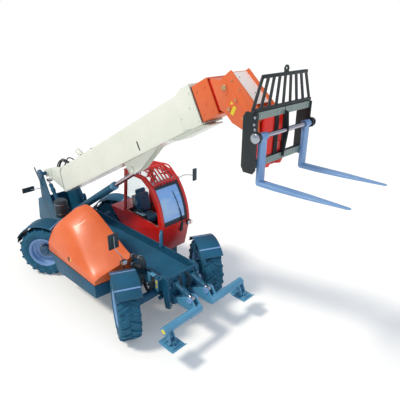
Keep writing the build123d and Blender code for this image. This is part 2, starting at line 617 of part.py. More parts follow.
def pod_tray():
    front = POD_FRONT + POD_FRONT_SWEEP
    side = [(POD_REAR, TRAY_BOTTOM - 20), (front, TRAY_BOTTOM + 30), (front, seam(front)),
            (HOOD_TAIL, seam(HOOD_TAIL))]
    plan = [(-2000, POD_OUT), (POD_FRONT, POD_OUT), (front, POD_IN), (-2000, POD_IN)]
    inner_side = [(POD_REAR + 20, TRAY_BOTTOM), (front, TRAY_BOTTOM + 50), (front, 900), (-1900, 900)]
    inner_plan = [(-2000, POD_OUT + 20), (POD_FRONT - 22, POD_OUT + 20), (front - 25, POD_IN - 20),
                  (-2000, POD_IN - 20)]
    plan_face, inner_face = [make_face(Polyline(*points, close=True)) for points in (plan, inner_plan)]
    shape = slab(side, POD_OUT, POD_IN) & extrude(plan_face, amount=1200)
    shape -= slab(inner_side, POD_OUT, POD_IN) & extrude(inner_face, amount=1200)
    for x in (-1400, -500):
        shape += block(x - 60, x + 60, POD_IN - 1, -FRAME_HALF, 600, 700)
    x, z = HOOD_HINGE
    shape += disc(HOOD_HINGE, HOOD_HINGE_Y[1] - 40, -FRAME_HALF, 12)
    for y in (HOOD_HINGE_Y[0] + 25, HOOD_HINGE_Y[1] + 25):
        shape += slab([(x - 16, 830), (x - 16, z + 16), (x + 16, z + 16), (x + 22, 852), (x + 60, 852),
                       (x + 88, 800)], y - 8, y + 8)
    return shape


def air_cleaner():
    """Canister on a post behind the pod, clear above the rear fender's sweep."""
    x, y = CLEANER
    shape = Pos(x, y, 1525) * Cylinder(145, 370)
    shape += Pos(x, y, 1715) * Cylinder(120, 40)
    shape += block(x - 50, x + 50, -FRAME_HALF - 12, -FRAME_HALF, RAIL_TOP - 60, 1500)
    return shape + block(x - 50, x + 50, y, -FRAME_HALF, 1400, 1480)


def engine():
    return block(-1480, -640, -1040, -560, 520, 1080)


def elbow():
    y = POD_IN - 35
    pipe = tube([(20, y, 1240), (390, y + 5, 1330), (380, y - 5, 1130), (10, y - 10, 1060)], 48, 90)
    return pipe + block(150, 190, y + 5, -FRAME_HALF, 1020, 1080) + block(150, 190, y - 5, y + 15, 1040, 1120)


# Cab ---------------------------------------------------------------------------------

SCREEN_LOW, SCREEN_MID, SCREEN_TOP = (-75, 1420), (-165, 1890), (-400, 2290)
CAB_NOSE = (-170, 1010)
CAB_TOE = (-240, 760)


def cab_profile(inset):
    """The cab's outline seen from the side, drawn in by the given wall."""
    low, high = 760 + inset, 2480 - inset
    nose = [(-1340 + inset, low), (CAB_TOE[0] - inset, low), (CAB_NOSE[0] - inset, CAB_NOSE[1]),
            (SCREEN_LOW[0] - inset, SCREEN_LOW[1])]
    roof = [(SCREEN_TOP[0] - inset, SCREEN_TOP[1] - inset / 2), (-620, high - 40), (-1270 + inset, high),
            (-1400 + inset, 1440)]
    def at(p):
        return p[0], CAB_IN, p[1]
    edges = [Line(at(a), at(b)) for a, b in zip(nose, nose[1:])]
    edges.append(ThreePointArc(at(nose[-1]), at((SCREEN_MID[0] - inset, SCREEN_MID[1])), at(roof[0])))
    chain = roof + [nose[0]]
    edges += [Line(at(a), at(b)) for a, b in zip(chain, chain[1:])]
    return make_face(edges)


DOOR_REAR, DOOR_FRONT = -1250, -330
HINGE_Y = CAB_OUT + 16


def door_outline(gap):
    return [(DOOR_REAR - gap, 820 - gap), (DOOR_FRONT - 60 + gap, 820 - gap), (DOOR_FRONT + 130 + gap, 1300),
            (DOOR_FRONT + 130 + gap, 1500), (DOOR_FRONT - 130 + gap, 2200 + gap), (-620, 2360 + gap),
            (DOOR_REAR - gap, 2370 + gap)]


SIDE_WINDOW = [(-1330, 1500), (-190, 1440), (-240, 1800), (-470, 2230), (-700, 2380), (-1215, 2390)]
DOOR_WINDOW = [(DOOR_REAR + 60, 1440), (DOOR_FRONT + 60, 1440), (DOOR_FRONT + 55, 1560),
               (DOOR_FRONT - 170, 2150), (-640, 2300), (DOOR_REAR + 60, 2310)]


def cab():
    thick = CAB_OUT - CAB_IN
    outer = extrude(cab_profile(0), amount=thick, dir=(0, 1, 0))
    inner = extrude(cab_profile(CAB_WALL), amount=thick - 2 * CAB_WALL, dir=(0, 1, 0))
    shape = outer - Pos(0, CAB_WALL, 0) * inner
    shape += slab([(-1400, 1440), (-1900, 1430), (-1580, 1110), (-1360, 1050)], CAB_IN, CAB_OUT - 60)
    shape -= slab(SIDE_WINDOW, CAB_IN - 1, CAB_IN + CAB_WALL + 1)
    shape -= slab(door_outline(PANEL_GAP), CAB_OUT - CAB_WALL - 1, CAB_OUT + 1)
    width = (CAB_IN + CAB_WALL + 20, CAB_OUT - CAB_WALL - 20)
    shape -= slab([(-20, 1450), (-200, 1450), (-330, 1900), (-560, 2250), (-330, 2280), (-100, 1900)], *width)
    shape -= block(-1440, -1240, *width, 1480, 2380)
    shape -= slab([(-470, 2300), (-470, 2520), (-1150, 2520), (-1150, 2300)], *width)
    return shape


def door():
    shape = slab(door_outline(0), CAB_OUT - CAB_WALL, CAB_OUT)
    shape -= slab(DOOR_WINDOW, CAB_OUT - CAB_WALL - 1, CAB_OUT + 1)
    for z in (1000, 1900):
        shape += block(DOOR_REAR + 6, DOOR_REAR + 46, CAB_OUT - 2, CAB_OUT + 10, z - 40, z + 40)
        shape += block(DOOR_REAR - 30, DOOR_REAR + 46, CAB_OUT + 5, CAB_OUT + 12, z - 40, z + 40)
        shape += Pos(DOOR_REAR - 30, HINGE_Y, z) * Cylinder(13, 80)
    return shape


def door_glass():
    middle = CAB_OUT - CAB_WALL / 2
    return slab(DOOR_WINDOW, middle - GLASS / 2, middle + GLASS / 2)


def cab_glass():
    middle = CAB_IN + CAB_WALL / 2
    shape = slab(SIDE_WINDOW, middle - GLASS / 2, middle + GLASS / 2)
    width = (CAB_IN + CAB_WALL + 20, CAB_OUT - CAB_WALL - 20)
    pane = extrude(cab_profile(18), amount=width[1] - width[0], dir=(0, 1, 0))
    pane -= extrude(cab_profile(18 + GLASS), amount=width[1] - width[0], dir=(0, 1, 0))
    pane = Pos(0, width[0] - CAB_IN, 0) * pane
    screen = pane & block(-900, 0, *width, 1450, 2262)
    rear = pane & block(-1500, -1200, *width, 1480, 2380)
    roof = pane & block(-1150, -480, *width, 2345, 2520)
    return Compound(children=[*shape.solids(), *screen.solids(), *rear.solids(), *roof.solids()])


def roof_guard():
    """Curved bars that run over the roof and down in front of its leading edge."""
    shape = None
    count = 8
    for i in range(count):
        y = CAB_IN + 90 + i * (CAB_OUT - CAB_IN - 180) / (count - 1)
        piece = tube([(-1200, y, 2510), (-620, y, 2560), (-350, y, 2345)], 17, 170)
        shape = piece if shape is None else shape + piece
    for x, z in ((-1198, 2510), (-800, 2544), (-352, 2347)):
        shape += disc((x, z), CAB_IN + 60, CAB_OUT - 60, 16)
    for x, z in ((-1198, 2510), (-800, 2544)):
        for y in (CAB_IN + 70, CAB_OUT - 70):
            shape += bar((x, y, z), (x, y, 2481 - (x + 1198) * 0.062), 12)
    return shape


def seat():
    x, y = -1000, (CAB_IN + CAB_OUT) / 2
    shape = block(x - 200, x + 230, y - 230, y + 230, 1230, 1340)
    shape += slab([(x - 200, 1300), (x - 130, 1300), (x - 200, 1820), (x - 300, 1820)], y - 220, y + 220)
    shape += block(x - 150, x + 150, y - 150, y + 150, 805, 1232)
    return shape


def dash():
    y = (CAB_IN + CAB_OUT) / 2
    shape = slab([(-400, 805.5), (-300, 1010), (-240, 1380), (-330, 1420), (-450, 1360), (-450, 1250),
                  (-380, 1180)], CAB_IN + 70, CAB_OUT - 70)
    shape += bar((-400, y, 1300), (-520, y, 1480), 25)
    wheel = Pos(-520, y, 1480) * Rot(Y=-33.7) * (Torus(170, 14) + Cylinder(172, 10))
    return shape + wheel


def tank():
    return block(-1330, -420, 430, 1130, 400, 740)


def lamps():
    right = block(10, 80, -760, -620, 1150, 1250)
    right += bar((45, -690, 1155), (45, -690, 975), 12) + bar((45, -701, 985), (45, -FRAME_HALF, 985), 12)
    left = block(-60, 10, 1060, 1170, 1330, 1440)
    return Compound(children=[right, left])


def mirrors():
    front = block(-80, -50, -900, -700, 1500, 1800) + bar((-65, -800, 1510), (45, -700, 1330), 9)
    front += bar((45, -700, 1250), (45, -700, 1334), 9)
    rear = block(-3900, -3700, -800, -760, 1530, 1620) + bar((-3720, -765, 1575), (-3720, -425, 1600), 10)
    return Compound(children=[front, rear])


def write(name, shape):
    export_step(shape, f"parts/{name}.step")


write("frame_chassis", frame())
left_rim, left_tyre = rim(), tyre()
for name, axle_x, angle, start, end in (
        ("front", FRONT_AXLE_X, FRONT_STEER, 46, 125),
        ("rear", REAR_AXLE_X, REAR_STEER, 52, 150)):
    write(f"axle_{name}", axle(axle_x))
    for side_name, side in (("left", 1), ("right", -1)):
        write(f"knuckle_{name}_{side_name}", steered(knuckle(start, end), axle_x, side, angle))
        write(f"rim_{name}_{side_name}", steered(left_rim, axle_x, side, angle))
        write(f"tyre_{name}_{side_name}", steered(left_tyre, axle_x, side, angle))

write("boom_outer", boom_outer())
write("boom_mid", boom_mid())
write("boom_inner", boom_inner())
write("boom_head", head())
lift = cylinder_pair(LIFT_FOOT, LIFT_EYE, 0, LIFT_BARREL, LIFT_ROD, LIFT_PIN, 2330, 44, 960)
write("lift_barrel", lift[0])
write("lift_rod", lift[1])
comp = [cylinder_pair(COMP_FOOT, COMP_EYE, y, COMP_BARREL, COMP_ROD, 24, 520, 40, 180)
        for y in (-COMP_Y, COMP_Y)]
write("comp_barrels", Compound(children=[comp[0][0], comp[1][0]]))
write("comp_rods", Compound(children=[comp[0][1], comp[1][1]]))

write("carriage", carriage())
write("coupler", coupler())
write("carriage_guard", guard())
write("fork_shaft", fork_shaft())
write("fork_left", fork(1))
write("fork_right", fork(-1))

stab_middle = sum(STAB_PLATE_Y) / 2
stab = cylinder_pair(STAB_FOOT, STAB_EYE, stab_middle, STAB_BARREL, STAB_ROD, 20, 350, 42, 110)
for name, shape in (("arm", stabilizer_arm()), ("pad", stabilizer_pad()), ("barrel", stab[0]),
                    ("rod", stab[1])):
    write(f"stabilizer_{name}_left", shape)
    write(f"stabilizer_{name}_right", mirror(shape, about=Plane.XZ))

write("pod_tray", pod_tray())
write("hood", hood())
write("air_cleaner", air_cleaner())
write("engine_block", engine())
write("intake_elbow", elbow())
write("cab_shell", cab())
write("cab_door", door())
write("door_glass", door_glass())
write("cab_glass", cab_glass())
write("roof_guard", roof_guard())
write("seat", seat())
write("dashboard", dash())
write("tank_left", tank())
write("lamps", lamps())
write("mirrors", mirrors())
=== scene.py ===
import json
import math

import bmesh
import bpy
from mathutils import Matrix, Vector


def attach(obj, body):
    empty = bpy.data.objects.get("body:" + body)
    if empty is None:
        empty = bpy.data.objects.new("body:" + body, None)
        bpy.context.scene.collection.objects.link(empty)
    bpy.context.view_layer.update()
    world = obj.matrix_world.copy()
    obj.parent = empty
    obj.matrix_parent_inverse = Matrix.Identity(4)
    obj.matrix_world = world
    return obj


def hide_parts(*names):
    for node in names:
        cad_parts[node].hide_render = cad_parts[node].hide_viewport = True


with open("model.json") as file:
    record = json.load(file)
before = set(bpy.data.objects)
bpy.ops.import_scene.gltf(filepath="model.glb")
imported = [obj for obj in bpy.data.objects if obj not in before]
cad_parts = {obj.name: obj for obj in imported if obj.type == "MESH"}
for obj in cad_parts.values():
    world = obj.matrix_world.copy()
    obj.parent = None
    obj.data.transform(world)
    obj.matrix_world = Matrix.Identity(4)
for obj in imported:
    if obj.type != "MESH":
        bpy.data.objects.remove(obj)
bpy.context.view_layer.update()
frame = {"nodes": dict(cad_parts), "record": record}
nodes = frame["nodes"]
print("frame loaded")


# colours and materials

def linear(hexColour):
    parts = [int(hexColour[i:i + 2], 16) / 255 for i in (0, 2, 4)]
    return [c / 12.92 if c < 0.04045 else ((c + 0.055) / 1.055) ** 2.4 for c in parts] + [1]


def addNode(tree, kind, links=None, **settings):
    node = tree.nodes.new("ShaderNode" + kind)
    for name, value in settings.items():
        if hasattr(node, name):
            setattr(node, name, value)
        else:
            node.inputs[name.replace("_", " ")].default_value = value
    for name, socket in (links or {}).items():
        tree.links.new(socket, node.inputs[name])
    return node


def startMaterial(name, **shader):
    material = bpy.data.materials.new(name)
    material.use_nodes = True
    tree = material.node_tree
    surface = tree.nodes["Principled BSDF"]
    for key, value in shader.items():
        surface.inputs[key.replace("_", " ")].default_value = value
    place = addNode(tree, "TexCoord").outputs["Object"]
    return material, tree, surface, place


def plug(tree, node, **sockets):
    for name, socket in sockets.items():
        tree.links.new(socket, node.inputs[name.replace("_", " ")])


def noise(tree, place, scale, detail, **more):
    return addNode(tree, "TexNoise", {"Vector": place}, Scale=scale, Detail=detail, **more).outputs["Fac"]


def ranged(tree, value, low, high, start=0, end=1):
    return addNode(tree, "MapRange", {"Value": value}, From_Min=start, From_Max=end,
                   To_Min=low, To_Max=high).outputs["Result"]


def tones(tree, value, low, high, start=0, end=1):
    ramp = addNode(tree, "ValToRGB", {"Fac": value})
    for stop, position, colour in zip(ramp.color_ramp.elements, (start, end), (low, high)):
        stop.position, stop.color = position, colour
    return ramp.outputs["Color"]


def mixed(tree, factor, base, over):
    # base is a socket or a colour, over a colour
    mix = addNode(tree, "Mix", {"Factor": factor}, data_type="RGBA")
    if isinstance(base, list):
        mix.inputs["A"].default_value = base
    else:
        plug(tree, mix, A=base)
    mix.inputs["B"].default_value = over
    return mix.outputs["Result"]


def bumped(tree, height, strength, distance):
    return addNode(tree, "Bump", {"Height": height}, Strength=strength, Distance=distance).outputs["Normal"]


def scaled(hexColour, factor):
    return [factor * c for c in linear(hexColour)[:3]] + [1]


def paintedSteel(name, colour, shade, roughness, coat, edge, dust):
    # two-pack paint sprayed on steel plate: a clear gloss over a fine orange peel,
    # a slow drift of tone across a panel, a painted highlight that lightens thin edges and a little road
    # dust low down
    material, tree, surface, place = startMaterial(name, Coat_Weight=coat, Coat_Roughness=0.18)
    drift = ranged(tree, noise(tree, place, 1.7, 3), 0, 1, 0.35, 0.75)
    paint = mixed(tree, drift, linear(colour), linear(shade))
    # painted highlight: where the bevelled normal turns from the flat one, the colour is mixed towards a
    # lighter copy of itself
    if edge:
        rounded = addNode(tree, "Bevel", Radius=0.007, samples=4).outputs["Normal"]
        flat = addNode(tree, "NewGeometry").outputs["Normal"]
        dot = addNode(tree, "VectorMath", {0: rounded, 1: flat}, operation="DOT_PRODUCT").outputs["Value"]
        paint = mixed(tree, ranged(tree, dot, 0, edge, 0.995, 0.9), paint,
            [0.5 + 0.5 * c for c in linear(colour)])
    height = addNode(tree, "SeparateXYZ", {"Vector": place}).outputs["Z"]
    speck = noise(tree, place, 14, 6, Roughness=0.7)
    grit = addNode(tree, "Math", {0: ranged(tree, height, 0, dust, 1.1, 0.1), 1: speck},
        operation="MULTIPLY")
    peel = noise(tree, place, 70, 2)  # 3 mm peel drawn at 14 mm
    plug(tree, surface, Base_Color=mixed(tree, grit.outputs["Value"], paint, linear("6d7f88")),
         Roughness=ranged(tree, speck, roughness - 0.06, roughness + 0.08, 0.3, 0.7),
         Normal=bumped(tree, peel, 0.035, 0.004))
    return material


def tyreRubber():
    # vulcanised carbon-black rubber: near matt, greyed by scuffing on the lugs, fine mould grain
    material, tree, surface, place = startMaterial("tyreRubber", Specular_IOR_Level=0.35)
    scuff = noise(tree, place, 9, 8, Roughness=0.65)
    plug(tree, surface, Base_Color=tones(tree, scuff, linear("104c66"), linear("287090"), 0.35, 0.75),
         Roughness=ranged(tree, scuff, 0.55, 0.8),
         Normal=bumped(tree, noise(tree, place, 260, 3), 0.25, 0.002))
    return material


def mouldedPlastic(name, colour, roughness=0.5, grain=180):
    # injection-moulded ABS or polythene: even colour, leather-like spark-eroded grain
    material, tree, surface, place = startMaterial(name)
    cloud = noise(tree, place, 5, 4)
    pits = addNode(tree, "TexVoronoi", {"Vector": place}, Scale=grain).outputs["Distance"]
    plug(tree, surface, Base_Color=tones(tree, cloud, scaled(colour, 0.75), scaled(colour, 1.2)),
         Roughness=ranged(tree, cloud, roughness - 0.1, roughness + 0.1),
         Normal=bumped(tree, pits, 0.15, 0.001))
    return material


def bareMetal(name, colour, roughness):
    # chromed or machined steel: hard polish with fine turning marks along one way
    material, tree, surface, place = startMaterial(name, Metallic=1)
    turned = addNode(tree, "Mapping", {"Vector": place}, Scale=(2, 40, 40)).outputs["Vector"]
    mark = noise(tree, turned, 3, 4)
    plug(tree, surface, Base_Color=tones(tree, mark, scaled(colour, 0.8), linear(colour)),
         Roughness=ranged(tree, mark, roughness * 0.6, roughness * 1.5))
    return material


def wovenCloth(name, colour, thread):
    # plain-woven polyester seat cloth: crossing threads about 1.5 mm apart drawn coarser, soft sheen
    material, tree, surface, place = startMaterial(name, Roughness=0.9, Sheen_Weight=0.5,
        Sheen_Roughness=0.4)
    warp, weft = [addNode(tree, "TexWave", {"Vector": place}, Scale=thread, Distortion=0.6,
                          bands_direction=way).outputs["Fac"] for way in "YZ"]
    weave = addNode(tree, "Math", {0: warp, 1: weft}, operation="MULTIPLY").outputs["Value"]
    cloudy = addNode(tree, "Math", {0: weave, 1: noise(tree, place, 12, 5)},
        operation="MULTIPLY").outputs["Value"]
    plug(tree, surface, Base_Color=tones(tree, cloudy, scaled(colour, 0.6), scaled(colour, 1.8)),
         Normal=bumped(tree, weave, 0.3, 0.001))
    return material


def windowGlass(name, tint, body, paintedSkyLight, clear):
    # tempered safety glass: faint body tint, mirror-smooth, a wiped film of slight roughness; a painted
    # reflection of the sky lies over it in long streaks of the body and paintedSkyLight colours; clear is
    # the share seen through, above 1 when no painted sky shows
    material, tree, surface, place = startMaterial(name, Base_Color=linear(tint), IOR=1.3,
        Transmission_Weight=1)
    wiped = addNode(tree, "Mapping", {"Vector": place}, Scale=(1, 1.2, 3.2),
        Rotation=(0.5, 0, 0)).outputs["Vector"]
    filmAndPaintedSky = noise(tree, wiped, 1.6, 4)
    plug(tree, surface, Roughness=ranged(tree, filmAndPaintedSky, 0, 0.02))
    paintedSkyStreaks = tones(tree, filmAndPaintedSky, linear(body), linear(paintedSkyLight), 0.4, 0.62)
    # painted reflection: a pale diffuse layer in the streak colours is mixed over the clear glass in place
    # of the sky it would mirror
    paintedSkyShader = addNode(tree, "BsdfPrincipled", {"Base Color": paintedSkyStreaks}, Roughness=0.3, Coat_Weight=0.5)
    both = addNode(tree, "MixShader", {0: ranged(tree, filmAndPaintedSky, clear - 0.02, clear + 0.02, 0.3, 0.7),
                                       1: paintedSkyShader.outputs["BSDF"], 2: surface.outputs["BSDF"]})
    plug(tree, tree.nodes["Material Output"], Surface=both.outputs["Shader"])
    return material


# name, colour, shade, roughness, coat, painted edge highlight, dust
(chassisPaint, orangePaint, redPaint, creamPaint, rimPaint, hubPaint, darkPaint, greyPaint, forkPaint,
 tubePaint, paleEnamel) = [paintedSteel(*row) for row in (
    ("chassisEnamel", "1a5b7b", "134963", 0.5, 0.05, 0.25, 0.05),
    ("orangeEnamel", "e36a31", "da5f28", 0.42, 0.2, 0.12, 0),
    ("redOrangeEnamel", "de2014", "c81510", 0.34, 0.3, 0.2, 0),
    ("creamEnamel", "e6eade", "dde3d4", 0.3, 0.6, 0, 0),
    ("wheelEnamel", "7aa2d6", "6590c4", 0.38, 0.3, 0.35, 0.1),
    ("hubEnamel", "1c5478", "144462", 0.42, 0.2, 0.35, 0.1),
    ("carriageEnamel", "0a1a20", "071318", 0.5, 0.08, 0.2, 0),
    ("beamEnamel", "7d8f88", "6d8079", 0.35, 0.4, 0.3, 0),
    ("forkEnamel", "769fd0", "688fbd", 0.4, 0.3, 0.3, 0),
    ("stabilizerEnamel", "4f93b8", "4082a4", 0.38, 0.3, 0.35, 0.05),
    ("nearWhiteHeadTopPaint", "fdf1ea", "f8e8e0", 0.34, 0.4, 0, 0))]
for enamel in (chassisPaint, hubPaint):
    enamel.node_tree.nodes["Principled BSDF"].inputs["Specular IOR Level"].default_value = 0.3
rubber = tyreRubber()
# name, colour, roughness, grain
(blackPlastic, hoseRubber, flapRubber, lampPlastic, iron, yellowFilm, amberLens, redLens, lampLens,
 palePanel) = [mouldedPlastic(*row) for row in (
    ("mouldedPolythene", "23333d"),
    ("hoseRubber", "1c2a33", 0.55, 400),
    ("flapRubber", "1d2b33", 0.7, 300),
    ("lampHousing", "2a3238", 0.4),
    ("castIron", "3a3f44", 0.7, 90),
    ("yellowVinylFilm", "e3cc22", 0.35, 600),
    ("amberAcrylic", "f08a1c", 0.15, 500),
    ("redAcrylic", "b3131a", 0.15, 500),
    ("frostedLampLens", "f6f7fa", 0.12, 120),
    ("paleConsolePlastic", "a9d3e6", 0.4))]
chrome = bareMetal("chromedSteel", "c3bfcc", 0.16)
zinc = bareMetal("zincPlatedSteel", "b8c2cc", 0.3)
goldZinc = bareMetal("goldPassivatedSteel", "d2b083", 0.3)
mirrorSilver = bareMetal("mirrorSilver", "b9c6d6", 0.05)
seatCloth = wovenCloth("wovenSeatCloth", "2c628c", 120)
# painted reflection: the body and light colours paint the sky on the glass; the side panes show none of it,
# the roof strip about half, and the screen most, its blue tint too
sideGlass = windowGlass("clearSafetyGlass", "f7fbfc", "c4d6e6", "e6eef4", 1.02)
screenGlass = windowGlass("screenGlassPaintedSky", "a9c6ee", "8cc0ff", "b4d8ff", 0.1)
roofGlass = windowGlass("roofGlassPaintedSky", "e4eef4", "d5dbe8", "f0f2f8", 0.45)
print("materials made")


# making and placing pieces

def mm(rows):
    # points written in millimetres
    return [tuple(float(n) / 1000 for n in row.split()) for row in rows.split(",")]


move = Matrix.Translation
link = bpy.context.scene.collection.objects.link
bm = bmesh.new()  # the piece being made, emptied when it becomes an object


def rotated(degrees, axis):
    return Matrix.Rotation(math.radians(degrees), 4, axis)


def shift(place, verts=None):
    bmesh.ops.transform(bm, matrix=place, verts=bm.verts if verts is None else verts)


def weld(gap):
    bmesh.ops.remove_doubles(bm, verts=bm.verts, dist=gap)


def asMesh(name):
    mesh = bpy.data.meshes.new(name)
    bm.to_mesh(mesh)
    bm.clear()
    return mesh


def asObject(name):
    piece = bpy.data.objects.new(name, asMesh(name))
    link(piece)
    return piece


def baked(thing):
    # the mesh a curve or a modified object shows
    bpy.context.view_layer.update()
    return bpy.data.meshes.new_from_object(thing.evaluated_get(bpy.context.evaluated_depsgraph_get()))


def finish(name, material, body="chassis", slotName=None, smooth=40, replaced=(), recalc=True):
    # turns a bmesh into a piece that rides on a body; slotName is not used
    if recalc:
        bmesh.ops.recalc_face_normals(bm, faces=bm.faces)
    piece = asObject(name)
    piece.data.materials.append(material)
    piece.data.shade_smooth()
    piece.data.set_sharp_from_angle(angle=math.radians(smooth))
    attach(piece, body)
    if replaced:
        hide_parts(*replaced)
    return piece


def mergedCopy(node):
    bm.from_mesh(nodes[node].data)
    weld(0.00002)
    bmesh.ops.dissolve_limit(bm, angle_limit=math.radians(1), verts=bm.verts, edges=bm.edges)


def bevel(width, segments=2, edges=None, clamp=False):
    bmesh.ops.bevel(bm, geom=bm.edges[:] if edges is None else edges, offset=width, segments=segments,
        affect="EDGES", profile=0.5, material=-1, clamp_overlap=clamp)


def roundEdges(width, segments=2):
    edges = [e for e in bm.edges if len(e.link_faces) == 2 and e.calc_face_angle(0) > math.radians(30)]
    bevel(width, segments, edges, clamp=True)


def box(low, high):
    size = Vector(high) - Vector(low)
    middle = (Vector(high) + Vector(low)) / 2
    return bmesh.ops.create_cube(bm, size=1, matrix=move(middle) @ Matrix.Diagonal((*size, 1)))["verts"]


def ball(middle, radius, around=16, rings=10, stretch=1):
    bmesh.ops.create_uvsphere(bm, u_segments=around, v_segments=rings, radius=radius, matrix=move(middle)
        @ Matrix.Diagonal((1, 1, stretch, 1)))


def aimed(way):
    return Vector(way).to_track_quat("Z", "Y").to_matrix().to_4x4()


def facing(start, end):
    # local Z runs from one point to another
    return move(Vector(start)) @ aimed(Vector(end) - Vector(start))


def boxes(name, corners, material, body="chassis", round=0, segments=2, **more):
    # a piece of plain blocks, every edge rounded alike
    for low, high in corners:
        box(low, high)
    if round:
        bevel(round, segments)
    finish(name, material, body, **more)


def rod(start, end, radius, segments=24, endRadius=None):
    length = (Vector(end) - Vector(start)).length
    last = radius if endRadius is None else endRadius
    bmesh.ops.create_cone(bm, cap_ends=True, segments=segments, radius1=radius, radius2=last, depth=length,
        matrix=facing(start, end) @ move((0, 0, length / 2)))


def bolt(seat, way, across, tall):
    # hexagon head on its washer
    way = Vector(way).normalized()
    seat = Vector(seat)
    rod(seat, seat + way * 0.003, across * 0.78, 20)
    rod(seat + way * 0.003, seat + way * (0.003 + tall), across * 0.577, 6)


def lathe(profile, place, steps=40):
    # profile of (radius, along) turned about local Z, then placed
    before = set(bm.verts)
    points = [bm.verts.new((r, 0, a)) for r, a in profile]
    edges = [bm.edges.new(pair) for pair in zip(points, points[1:])]
    bmesh.ops.spin(bm, geom=points + edges, cent=(0, 0, 0), axis=(0, 0, 1), angle=math.tau, steps=steps,
        use_merge=True)
    shift(place, [v for v in bm.verts if v not in before])


def outlinePlate(points, thick, place):
    # a plate from an outline in local XY, thick along Z
    verts = [bm.verts.new((x, y, 0)) for x, y in points]
    face = bm.faces.new(verts)
    out = bmesh.ops.extrude_face_region(bm, geom=[face])
    top = [g for g in out["geom"] if isinstance(g, bmesh.types.BMVert)]
    bmesh.ops.translate(bm, verts=top, vec=(0, 0, thick))
    shift(place, verts + top)


def pipeThrough(name, points, radius, material=hoseRubber, body="chassis", order=3):
    # a hose or bent rod: a smooth NURBS line given a round section and made a mesh
    line = bpy.data.curves.new(name, "CURVE")
    line.dimensions = "3D"
    spline = line.splines.new("NURBS")
    spline.points.add(len(points) - 1)
    for point, place in zip(spline.points, points):
        point.co = (*place, 1)
    spline.order_u = order
    spline.use_endpoint_u = True
    spline.resolution_u = 6
    line.bevel_depth = radius
    line.bevel_resolution = 3
    line.use_fill_caps = True
    holder = bpy.data.objects.new(name + "Line", line)
    link(holder)
    bm.from_mesh(baked(holder))
    bpy.data.objects.remove(holder)
    finish(name, material, body, recalc=False)


# local XY drawn on the side view, thick towards -Y, and on the front view, thick towards +X
xz = Matrix(((1, 0, 0, 0), (0, 0, -1, 0), (0, 1, 0, 0), (0, 0, 0, 1)))
pane = Matrix(((0, 0, 1, 0), (1, 0, 0, 0), (0, 1, 0, 0), (0, 0, 0, 1)))

# plain coats on every node that keeps its own mesh
coats = {chassisPaint: "axle stabilizer_barrel knuckle frame lift_barrel comp_barrels pod tank",
    tubePaint: "stabilizer", orangePaint: "boom_mid boom_head hood",
    redPaint: "boom_inner coupler cab_shell cab_door roof", creamPaint: "boom_outer", darkPaint: "carriage",
    forkPaint: "fork", rimPaint: "rim", rubber: "tyre", iron: "engine",
    chrome: "stabilizer_rod lift_rod comp_rods fork_shaft", hoseRubber: "intake",
    blackPlastic: "air dashboard mirrors", sideGlass: "door_glass cab_glass", seatCloth: "seat",
    lampPlastic: "lamps"}
coatOf = {start: material for material, starts in coats.items() for start in starts.split()}
slotOf = {part["node"]: part["material_slot"] for part in frame["record"]["subparts"]}
bodyOf = {node: body for body, held in frame["record"]["behaviour"]["bodies"].items() for node in held}


def coatFor(node):
    # the longest start of a name decides
    return coatOf[max((start for start in coatOf if node.startswith(start)), key=len)]


for node, part in nodes.items():
    part.data.materials.clear()
    part.data.materials.append(coatFor(node))

# plate work keeps the CAD shape but gets softly rounded edges
softEdges = ((0.004, "frame_chassis"), (0.006, "axle_front axle_rear boom_outer"),
    (0.005, "boom_mid boom_inner"), (0.006, "boom_head"), (0.004, "carriage"), (0.005, "coupler"),
    (0.003, "carriage_guard"), (0.008, "pod_tray"), (0.01, "hood"), (0.007, "cab_shell"),
    (0.006, "cab_door"), (0.02, "tank_left"), (0.006, "fork_left fork_right"),
    (0.004, "stabilizer_arm_left stabilizer_arm_right"),
    (0.003, "stabilizer_pad_left stabilizer_pad_right"),
    (0.003, "knuckle_front_left knuckle_front_right knuckle_rear_left knuckle_rear_right"))
for width, node in [(width, node) for width, held in softEdges for node in held.split()]:
    mergedCopy(node)
    roundEdges(width)
    finish(node + "Plates", coatFor(node), bodyOf[node], slotOf[node], replaced=[node], recalc=False)
print("plate work rounded")

# wheels: place of each one, then tyre, rim and hub
running = {"axleX": {"front": 0.53, "rear": -2.55}, "steer": {"front": -26.7, "rear": 35.6},
    "kingpinY": 0.905, "offset": 0.12, "height": 0.597}


def wheelPlace(end, side):
    sign = 1 if side == "left" else -1
    place = move((running["axleX"][end], sign * running["kingpinY"], running["height"]))
    place = place @ rotated(running["steer"][end], "Z")
    return place @ move((0, sign * running["offset"], 0)) @ Matrix.Diagonal((1, sign, 1, 1))


wheels = [(end, side) for end in ("front", "rear") for side in ("left", "right")]
axleWay = rotated(-90, "X")  # turns a lathe's axis from Z to outboard Y
tyre = {"radius": 0.597, "half": 0.1985, "carcass": 0.566, "lugs": 19, "lean": 0.2, "lugWide": 0.052}
tyreSide = mm("320 160, 338 176, 352 181, 366 190, 371 194, 377 190, 410 196, 455 199, 462 199.5, "
    "468 197, 505 194, 532 183, 549 165")


def tyreSurface(y):
    # height of the carcass under a lug at a place across the tread
    share = min(1, abs(y) / 0.165)
    return tyre["carcass"] - 0.017 * share ** 3


